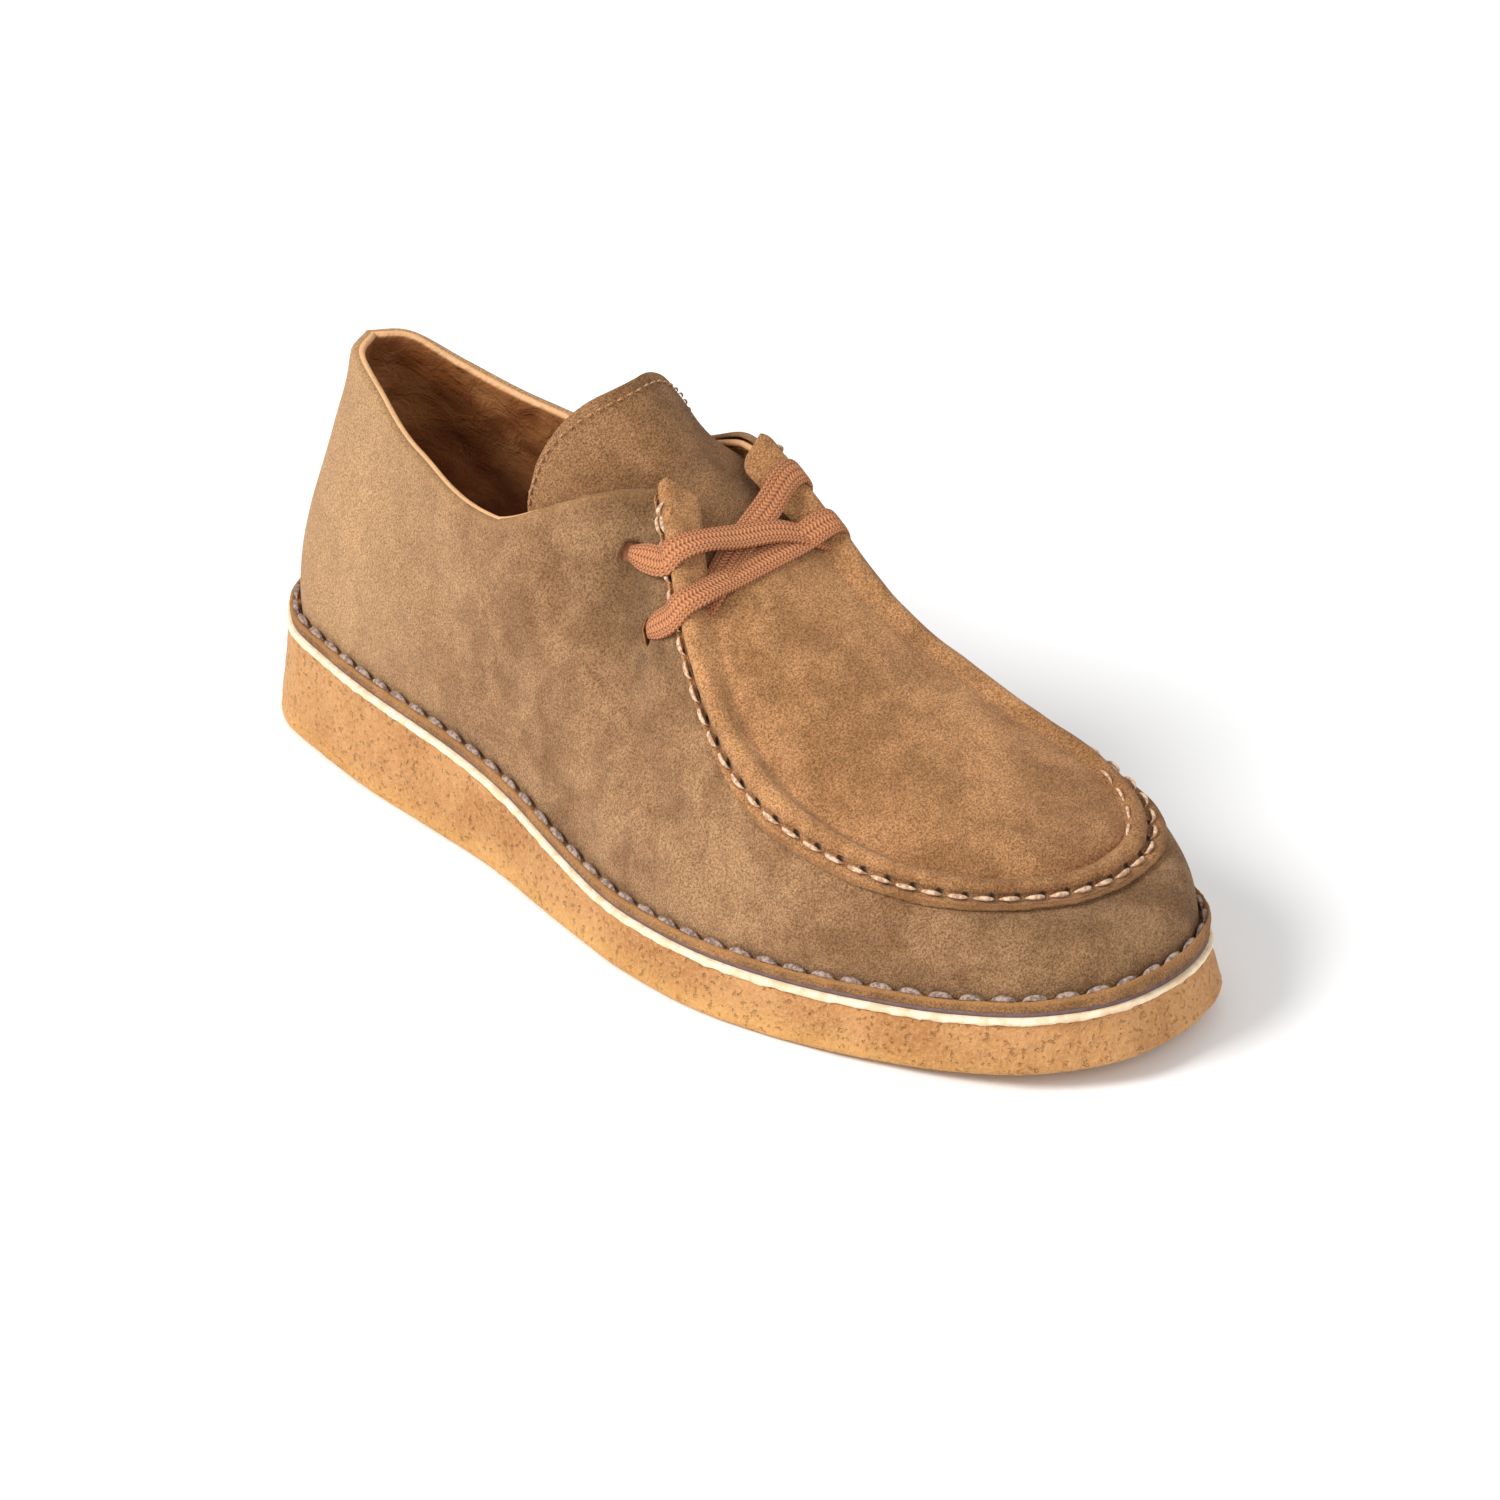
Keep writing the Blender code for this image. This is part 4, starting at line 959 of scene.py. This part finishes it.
def seam_frame(side, stations):
    """Directions across the raised seam, toward the middle, and out of it."""
    step = 0.01
    before = top_of(side, np.maximum(stations - step, THROAT))
    past = stations + step > 1
    beyond = top_of(-side, np.minimum(2 - stations - step, 1.0))
    after = np.where(past[:, None], beyond, top_of(side, np.minimum(stations + step, 1)))
    tangent = unit((after - before)[:, :2])
    inward = side * np.column_stack((tangent[:, 1], -tangent[:, 0], np.zeros(len(stations))))
    tilt = np.radians(read(RIDGE, stations)[:, 3])[:, None]
    return inward * np.cos(tilt) + UP * np.sin(tilt), UP * np.cos(tilt) - inward * np.sin(tilt)


def seam_rows(side, stations):
    """Section of the apron's edge: raw edge, stitch line, round roll and groove."""
    width, outer, inner, _ = read(RIDGE, stations).T
    over, out = seam_frame(side, stations)
    foot = top_of(side, stations)
    flange_out = unit(out_of(side, stations) * 0.75 + UP * 0.55)
    rows = []
    raw = RAW_EDGE * (0.35 + 0.65 * ease(0.56, 0.66, stations))
    for share, high in FLANGE:
        rows.append(below(side, stations, raw * share) + flange_out * APRON_LIFT * high)
    reach = over * (width * RIDGE_WIDTH)[:, None]
    tall = (outer * RIDGE_HEIGHT)[:, None]
    for across, rise, high in ROLL:
        rows.append(foot + reach * across + out * (tall * rise + APRON_LIFT * high))
    groove = foot + reach + out * ((outer - inner) * RIDGE_HEIGHT + APRON_LIFT - GROOVE_DEPTH)[:, None]
    last = rows[-1]
    for share, sag in ((0.30, 0.16), (0.58, 0.16), (0.82, 0.07)):
        rows.append(last * (1 - share) + groove * share - out * sag * (inner * RIDGE_HEIGHT * 0.25)[:, None])
    rows.append(groove)
    return np.stack(rows, axis=1)


def crown(stations, steps):
    """Forefoot between the two grooves."""
    lateral, medial = seam_rows(LATERAL, stations)[:, -1], seam_rows(MEDIAL, stations)[:, -1]
    share = np.linspace(0, 1, steps)[None, :, None]
    bow = 1 - np.abs(2 * share - 1) ** 2.2
    points = lateral[:, None] * (1 - share) + medial[:, None] * share
    return points + UP * CROWN * np.linalg.norm(medial - lateral, axis=1)[:, None, None] * bow


def seam_marks(rows):
    """UV of the seam's section: stitches along it, and millimetres from the stitch line across it."""
    line = rows[:, STITCH_ROW]
    length = lengths_along(line)
    length = length - length[-1]
    steps = lengths_across(rows)
    steps = (steps - steps[:, STITCH_ROW:STITCH_ROW + 1]) * 1000
    return np.stack((np.broadcast_to(length[:, None] / SEAM_PITCH, steps.shape), steps), axis=-1)


def fray(points, rows, inner):
    """Ragged line of a cut edge: its rows move a little toward or away from a row further in."""
    for column in points:
        shift = 0.00034 * grain(column[rows[0]], 0.0022) + 0.00022 * grain(column[rows[0]], 0.0008)
        away = unit(column[rows[0]] - column[inner])
        for row in rows:
            column[row] += away * shift


CROWN_STEPS = 72
toe_stations = APRON_TOP + (1 - APRON_TOP) * np.linspace(0, 1, 190) ** 0.9
middle = crown(toe_stations, CROWN_STEPS)
lateral, medial = seam_rows(LATERAL, toe_stations), seam_rows(MEDIAL, toe_stations)
marks = {LATERAL: seam_marks(lateral), MEDIAL: seam_marks(medial)}
points = np.concatenate((lateral, middle[:, 1:-1], medial[:, ::-1]), axis=1)
gap = np.minimum(np.arange(1, CROWN_STEPS - 1), np.arange(CROWN_STEPS - 2, 0, -1))[None, :, None]
unstitched = np.zeros((len(points), CROWN_STEPS - 2, 1))
plain = np.concatenate((unstitched, marks[LATERAL][:, -1:, 1:] + gap * 0.6), axis=2)
uv = np.concatenate((marks[LATERAL], plain, marks[MEDIAL][:, ::-1]), axis=1)
spread = normals(points)
spread = spread if spread[10, 60, 2] > 0 else -spread
pull = np.abs(np.cos(math.pi * uv[..., 0])) * np.exp(-(uv[..., 1] / 1.6) ** 2)
lump = lumps_on(points, (0.0005, 0.022, 0), (0.00022, 0.008, 9))
tip = 1 - ease(0.94, 1.0, toe_stations)[:, None]
points += spread * ((lump - 0.00035 * pull) * tip)[..., None]
fray(points, (0, 1, 2), 4)
fray(points, (-1, -2, -3), -5)
form = sheet(points, uv)
bmesh.ops.remove_doubles(form, verts=form.verts, dist=2e-6)
bmesh.ops.dissolve_degenerate(form, edges=form.edges, dist=2e-6)
bmesh.ops.recalc_face_normals(form, faces=form.faces)
face_toward(form, UP)


def seam_suede(name, light, dark):
    look, colour, height = suede(name, light, dark)
    u, v, _ = look.axes(look.place("UV"))
    along = abs((u + 0.5).part() - 0.5) * (SEAM_PITCH * 1000)
    # Painted shade: dark spots in the stitch holes and a darker furrow along the stitch line.
    hole = look.ramp((along * along + v * v) ** 0.5, 1.25, 0.35)
    furrow = look.ramp(abs(v), 1.4, 0.1)
    colour = look.shade(colour, 1 - hole * 0.90)
    colour = look.shade(colour, 1 - furrow * 0.18)
    # Painted shadow: the outer edge of the raw edge is mixed half toward dark, the shadow of its step onto
    # the wall.
    raw = look.ramp(v, -2.9, -3.7)
    colour = look.mix(raw * 0.5, colour, (0.22, 0.10, 0.035))
    # Painted shade: darker toward the toe.
    y = look.axes(look.place())[1]
    colour = look.shade(colour, look.ramp(y, -0.135, -0.070, 0.80, 1.0))
    return look.finish(colour, height - hole * 2.5 - furrow * 0.6, 0.0008)


apron_look = seam_suede("apron_suede", (0.575, 0.285, 0.122), (0.350, 0.165, 0.064))
apron = piece("apron_sheet", form, [apron_look])
thicken(apron, APRON_THICKNESS)
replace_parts(apron, "apron")

# The arms' open ends close up like the end of a roll
arm_stations = np.linspace(THROAT, APRON_TOP, 60)
ARMS = ((LATERAL, "seam_arm_lateral", 0.80, 0.0015), (MEDIAL, "seam_arm_medial", 0.30, 0.0045))
for side, name, close_to, close_over in ARMS:
    points = seam_rows(side, arm_stations)
    run = lengths_along(points[:, CREST_ROW])
    size = close_to + (1 - close_to) * np.sqrt(1 - (1 - np.clip(run / close_over, 0, 1)) ** 2)
    middle = points[:, STITCH_ROW:].mean(axis=1, keepdims=True) - UP * 0.001
    points = middle + (points - middle) * size[:, None, None]
    uv = seam_marks(points)
    uv[..., 0] += marks[side][0, STITCH_ROW, 0]
    form = sheet(points, uv)
    face_toward(form, UP)
    thicken(piece(name, form, [apron_look]), APRON_THICKNESS)

# Seam stitches: pale peach waxed thread
peach = twisted("seam_thread", (0.86, 0.60, 0.40), (0.50, 0.28, 0.16))
stitches = []
whole = np.linspace(THROAT + 0.002, 1, 500)
lines = {}
for side in (LATERAL, MEDIAL):
    rows = seam_rows(side, whole)
    over, out = seam_frame(side, whole)
    out = unit(out * 0.6 + out_of(side, whole) * 0.7)
    seam = (rows[:, STITCH_ROW - 1] + rows[:, STITCH_ROW]) / 2
    lines[side] = np.concatenate((seam + out * 0.0014, out), axis=1)
for side in (LATERAL, MEDIAL):
    line = lines[side][::-1]
    spots = along_line(line, SEAM_PITCH)
    spots[:-1, 3:] += spots[1:, 3:]
    stitches += sew(spots, 0.08, 0.00062, 0.00055, 0.0012)
    # Bars of thread hold the seam's open end at the throat
    rows = seam_rows(side, whole[6:14:7])
    first, second = rows[:, STITCH_ROW] + UP * 0.001
    stitches.append((rows[0, STITCH_ROW - 1], rows[0, CREST_ROW + 1], (side, 0, 1), 0.00062, 0.0016, 0.0))
    stitches.append((first, second, (side, 0, 0.5), 0.0007, 0.0008, 0.0))
# The same thread shows on the inner face of the medial seam near the toe, above the groove
inside = seam_rows(MEDIAL, whole[250:440])
inside = np.concatenate((inside[:, INNER_ROW], np.tile(UP, (len(inside), 1))), axis=1)
stitches += sew(along_line(inside, SEAM_PITCH, SEAM_PITCH / 2), 0.1, 0.00048, 0.00065, 0.0008)
piece("seam_stitches", threads(stitches), [peach])


# Tongue
# A wide tongue of suede with a leather back comes out from under the apron. Its free end is round
# and edge stitched.

TONGUE_RISE = 0.0360
TONGUE_WING = 0.0360
TONGUE = (
    (0.00, 0.00, 0.00, 0.00, 0.00, 0.00, 0.00, 0.00, 0.00, 0.00),
    (0.30, -0.03, 0.20, 0.20, -0.05, 0.55, 0.22, -0.07, 0.30, 0.08),
    (0.60, -0.06, 0.40, 0.42, 0.00, 0.95, 0.52, -0.17, 0.50, 0.17),
    (0.80, -0.09, 0.54, 0.58, 0.08, 1.00, 0.84, -0.25, 0.55, 0.24),
    (1.00, -0.12, 0.67, 0.74, 0.20, 1.02, 1.10, -0.33, 0.60, 0.31),
)
TONGUE_ACROSS = 81
TONGUE_ROWS = 110
TONGUE_THICKNESS = 0.0024
LOOSENING = 180


def wall_out(side, station, distance):
    shifts = ((0, 0), (0, 0.002), (0.006, 0))
    spot, lower, ahead = (below(side, [station + along], distance + down)[0] for along, down in shifts)
    out = unit(np.cross(lower - spot, ahead - spot))
    return out if out[0] * side > 0 else -out


def tongue_section(station):
    depth = UPPER_WALL + 2 * LAYER_GAP
    stations = np.array([station])
    middle = crown(stations, 5)[0] - UP * (depth * 1.3 + APRON_LIFT)
    lateral, medial = [], []
    for share in (1.0, 0.75, 0.5, 0.32):
        for side, wing in ((LATERAL, lateral), (MEDIAL, medial)):
            distance = TONGUE_WING * share
            wing.append(below(side, stations, distance)[0] - wall_out(side, station, distance) * depth)
    keys = np.linspace(0, 1, 13)
    return smooth(keys, np.array(lateral + list(middle) + medial[::-1]), np.linspace(0, 1, TONGUE_ACROSS))


roots = [0.62, 0.605, 0.59, 0.575, APRON_TOP, 0.545, 0.535, 0.525, 0.518, 0.509, THROAT]
sections = [tongue_section(station) for station in roots]
start = sections[-1]
across = np.linspace(-1, 1, TONGUE_ACROSS)[:, None]
weight = np.abs(across) ** 1.9
round_off = 0.30 * (1 - (1 - np.minimum(np.abs(across), 1) ** 3.0) ** (1 / 3.0))
loose = start.copy()
for _ in range(LOOSENING):
    loose[1:-1] = (loose[:-2] + 2 * loose[1:-1] + loose[2:]) / 4
for share in np.linspace(0, 1, 34)[1:]:
    share_here = share * (1 - round_off * share)
    rows = np.array([read(TONGUE, s) for s in share_here[:, 0]]) * TONGUE_RISE
    middle, lateral, medial = rows[:, :3], rows[:, 3:6], rows[:, 6:]
    free = float(ease(0.0, 0.7, share))
    sides = np.where(across < 0, lateral, medial)
    sections.append(start * (1 - free) + loose * free + middle * (1 - weight) + sides * weight)
keys = np.arange(len(sections))
flat = np.array(sections).reshape(len(sections), -1)
points = smooth(keys, flat, np.linspace(0, keys[-1], TONGUE_ROWS)).reshape(TONGUE_ROWS, TONGUE_ACROSS, 3)
spread = normals(points)
spread = spread if spread[60, 40, 1] < 0 else -spread
lump = lumps_on(points, (0.0006, 0.020, 0), (0.0002, 0.007, 4))
points += spread * lump[..., None] * ease(30, 60, np.arange(TONGUE_ROWS))[:, None, None]
form = sheet(points)
bmesh.ops.recalc_face_normals(form, faces=form.faces)
face_toward(form, (0, -1, 0))
flap, flap_colour, flap_height = suede("tongue_suede", (0.350, 0.180, 0.080), (0.215, 0.103, 0.043))
flap_look = flap.finish(flap_colour, flap_height, 0.0008)
tongue = piece("tongue_flap", form, [flap_look, skin_look])
thicken(tongue, TONGUE_THICKNESS, inside=1)
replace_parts(tongue, "tongue")

# Edge stitches of the tongue, orange-brown sewing thread
fine = twisted("fine_thread", (0.60, 0.30, 0.13), (0.30, 0.13, 0.05), 0.0006)
HEM_INSET = 0.0030
HEM_PITCH = 0.0030
HEM_START, HEM_END, HEM_COLUMNS = 50, 103, 4


def walk(line, distance):
    """The point at a distance along a line of points."""
    lengths = lengths_along(line)
    return [np.interp(distance, lengths, line[:, axis]) for axis in range(3)]


hem = [walk(points[i], HEM_INSET) for i in range(HEM_START, HEM_END)]
hem += [walk(points[::-1, j], HEM_INSET) for j in range(HEM_COLUMNS, TONGUE_ACROSS - HEM_COLUMNS)]
hem += [walk(points[i, ::-1], HEM_INSET) for i in range(HEM_END - 1, HEM_START, -1)]
faces = np.concatenate((spread[HEM_START:HEM_END, HEM_COLUMNS],
                        spread[HEM_END, HEM_COLUMNS:TONGUE_ACROSS - HEM_COLUMNS],
                        spread[HEM_END - 1:HEM_START:-1, -HEM_COLUMNS]))
line = np.concatenate((np.array(hem) + faces * 0.0003, faces), axis=1)
spots = along_line(line, HEM_PITCH)
piece("tongue_stitches", threads(sew(spots, 0.14, 0.00036, 0.00036, 0.0005)), [fine])


# Backstay
# A narrow strip of suede covers the seam at the back of the heel. It lies on both walls and bows out
# a little between its edges.

STAY_HALF_WIDTH = 0.0060
STAY_THICKNESS = 0.0010
STAY_BOW = 0.0009
points = []
spread_stations = np.linspace(0, 0.14, 29)
heights = np.linspace(0.06, 0.975, 60)
grids = {side: wall(side, spread_stations, heights) for side in (LATERAL, MEDIAL)}
for share in np.linspace(-1, 1, 15):
    body = grids[MEDIAL if share > 0 else LATERAL]
    column = []
    for j in range(len(heights)):
        spot = np.array(walk(body[:, j], abs(share) * STAY_HALF_WIDTH))
        bend = STAY_BOW * (1 - abs(share) ** 6) ** 0.5
        column.append(spot + np.array([0, 1, 0]) * bend)
    points.append(column)
points = np.array(points)
form = sheet(points)
bmesh.ops.recalc_face_normals(form, faces=form.faces)
face_toward(form, (0, 1, 0))
stay, stay_colour, stay_height = suede("backstay_suede", (0.56, 0.33, 0.165), (0.34, 0.185, 0.085))
stay_strip = piece("backstay_strip", form, [stay.finish(stay_colour, stay_height, 0.0008)])
thicken(stay_strip, STAY_THICKNESS, 0)
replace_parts(stay_strip, "backstay")


# Laces
# One flat braided cotton lace: a bar across the lower holes, and two ends that cross above it. What
# runs on behind the holes and below the crossing isn't made.

LACE_WIDTH = 0.0080
LACE_THICKNESS = 0.0018
LOWER_CRESTS = {LATERAL: 0.545, MEDIAL: 0.547}
UPPER_CRESTS = {LATERAL: 0.526, MEDIAL: 0.522}
CLEARANCE = 0.0011


def climb(side, hole, crest):
    """Stops of a lace from inside its hole straight up to the raised seam: point, way out, width."""
    station, distance = hole
    out = wall_out(side, station, distance)
    start = below(side, [station], distance)[0]
    before, rows, after = seam_rows(side, np.array([crest - 0.006, crest, crest + 0.006]))
    seam = unit(after[CREST_ROW] - before[CREST_ROW])
    over = seam_frame(side, np.array([crest]))[1][0]
    over = unit(over - seam * (over @ seam))
    first, last = start + out * CLEARANCE * 0.6, rows[CREST_ROW - 2] + unit(over + out) * CLEARANCE
    stops = [(start - out * 0.0035, out, 0.42), (start - out * 0.0006, out, 0.46)]
    for share, wide in ((0.10, 0.56), (0.25, 0.76), (0.45, 0.95), (0.68, 1.0), (0.88, 1.0)):
        spot = first * (1 - share) + last * share
        at = station * (1 - share) + crest * share
        ground = below(side, [at], distance * (1 - share))[0]
        face = wall_out(side, at, distance * (1 - share))
        lack = CLEARANCE - (spot - ground) @ face
        stops.append((spot + face * max(lack, 0.0), unit(face * (1 - share) + (face + over) * share), wide))
    for row, lean in ((CREST_ROW - 1, 0.5), (CREST_ROW + 1, 0.2), (CREST_ROW + 3, 0.0)):
        stops.append((rows[row] + unit(over + out * lean) * CLEARANCE, unit(over + out * lean), 1.0))
    return stops


def lace(form, stops):
    """Flat braid along stops, each a point, the direction out of its face and a share of its width."""
    count = 150
    spots, ways, widths = (np.array([stop[k] for stop in stops]) for k in range(3))
    keys = lengths_along(spots)
    at = np.linspace(0, keys[-1], count)
    spots = smooth(keys, spots, at)
    ways, widths = unit(smooth(keys, unit(ways), at)), smooth(keys, widths, at)
    for _ in range(25):
        spots[1:-1] = (spots[:-2] + 2 * spots[1:-1] + spots[2:]) / 4
    runs = unit(np.gradient(spots, axis=0))
    across = unit(np.cross(ways, runs))
    out = unit(np.cross(runs, across))
    ring = []
    angles = np.linspace(0, 2 * math.pi, 29)
    for angle in angles:
        x, z = math.cos(angle), math.sin(angle)
        x = math.copysign(abs(x) ** 0.60, x)
        z = math.copysign(abs(z) ** 0.50, z)
        wide = LACE_WIDTH / 2 * widths
        high = LACE_THICKNESS * 0.42 * np.ones(count)
        ring.append(spots + across * (x * wide)[:, None] + out * (z * high)[:, None])
    points = np.stack(ring, axis=1)
    along, around_it = np.meshgrid(at * 1000, np.cos(angles) * 4, indexing="ij")
    uv = np.stack((along, around_it), axis=-1)
    mesh = bpy.data.meshes.new("lace")
    strip = shell(points, uv)
    strip.to_mesh(mesh)
    strip.free()
    form.from_mesh(mesh)
    bpy.data.meshes.remove(mesh)


near, far = (climb(side, LOWER_HOLES[side], LOWER_CRESTS[side]) for side in (LATERAL, MEDIAL))
near_high, far_high = (climb(side, UPPER_HOLES[side], UPPER_CRESTS[side]) for side in (LATERAL, MEDIAL))


def span(first, second, share, drop):
    spot = first[0] * (1 - share) + second[0] * share - UP * drop
    return spot, unit(first[1]) * (1 - share) + unit(second[1]) * share, 1.0


bar = near + [span(near[-1], far[-1], share, 0.0006) for share in (0.25, 0.5, 0.75)] + far[::-1]
ends = LACE_THICKNESS * 1.1
over_stops = near_high + [
    span(near_high[-1], far[-1], 0.40, -0.0002), span(near_high[-1], far[-1], 0.66, 0.0004),
    span(near[-1], far[-1], 0.86, ends), span(near[-1], far[-1], 0.97, ends * 3),
]
under_stops = far_high + [
    span(far_high[-1], near[-1], 0.30, 0.0008), span(far_high[-1], near[-1], 0.60, 0.0024),
    span(near[-1], far[-1], 0.14, ends * 1.6), span(near[-1], far[-1], 0.06, ends * 3.5),
]
form = bmesh.new()
for stops in (bar, over_stops, under_stops):
    lace(form, stops)
braid = Finish("lace_braid", 0.85, Specular_IOR_Level=0.2, Sheen_Weight=0.05, Sheen_Roughness=0.5)
u, v, _ = braid.axes(braid.place("UV"))
column = (v + 4) / 1.34
inside = column.part()
skew = abs(inside - 0.5) * 1.1
strand = ((u / 1.15 + skew) * (2 * math.pi)).wave() * 0.5 + 0.5
edge_fall = braid.ramp(abs(inside - 0.5), 0.5, 0.30)
weave = strand * 0.75 + edge_fall * 0.45
yarn = braid.lumps(0.00022, 2.0)
rust = braid.mix(braid.ramp(weave, 0.15, 1.0), (0.27, 0.090, 0.036), (0.74, 0.300, 0.128))
rust = braid.shade(rust, 0.82 + yarn * 0.36)
braid_look = braid.finish(rust, weave + yarn * 0.3, 0.0006)
laces = piece("braided_lace", form, [braid_look])
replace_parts(laces, "laces")


# Floor and light
# Plain white floor under soft studio light from above and from the left of the view, with a weaker
# light from the front.

floor_form = bmesh.new()
bmesh.ops.create_grid(floor_form, x_segments=1, y_segments=1, size=4)
bmesh.ops.transform(floor_form, matrix=Matrix.Translation((0, 0, -0.0002)), verts=floor_form.verts)
mesh = bpy.data.meshes.new("floor")
floor_form.to_mesh(mesh)
floor_form.free()
floor = bpy.data.objects.new("floor", mesh)
bpy.context.collection.objects.link(floor)
paper = Finish("white_paper", 0.9, Specular_IOR_Level=0.1)
mesh.materials.append(paper.finish((0.97, 0.97, 0.97)))


def softbox(name, place, aim, size, watts):
    light = bpy.data.lights.new(name, "AREA")
    light.shape = "DISK"
    light.size = size
    light.energy = watts
    item = bpy.data.objects.new(name, light)
    item.location = place
    item.rotation_euler = (Vector(aim) - Vector(place)).to_track_quat("-Z", "Y").to_euler()
    bpy.context.collection.objects.link(item)


softbox("key", (-3.0, 1.1, 2.8), (0, 0, 0.04), 1.8, 150)
softbox("front", (-1.4, -3.2, 2.6), (0, 0, 0.04), 2.8, 44)
world = bpy.data.worlds.new("studio")
world.use_nodes = True
world.node_tree.nodes["Background"].inputs["Color"].default_value = (1, 1, 1, 1)
world.node_tree.nodes["Background"].inputs["Strength"].default_value = 0.60
bpy.context.scene.world = world
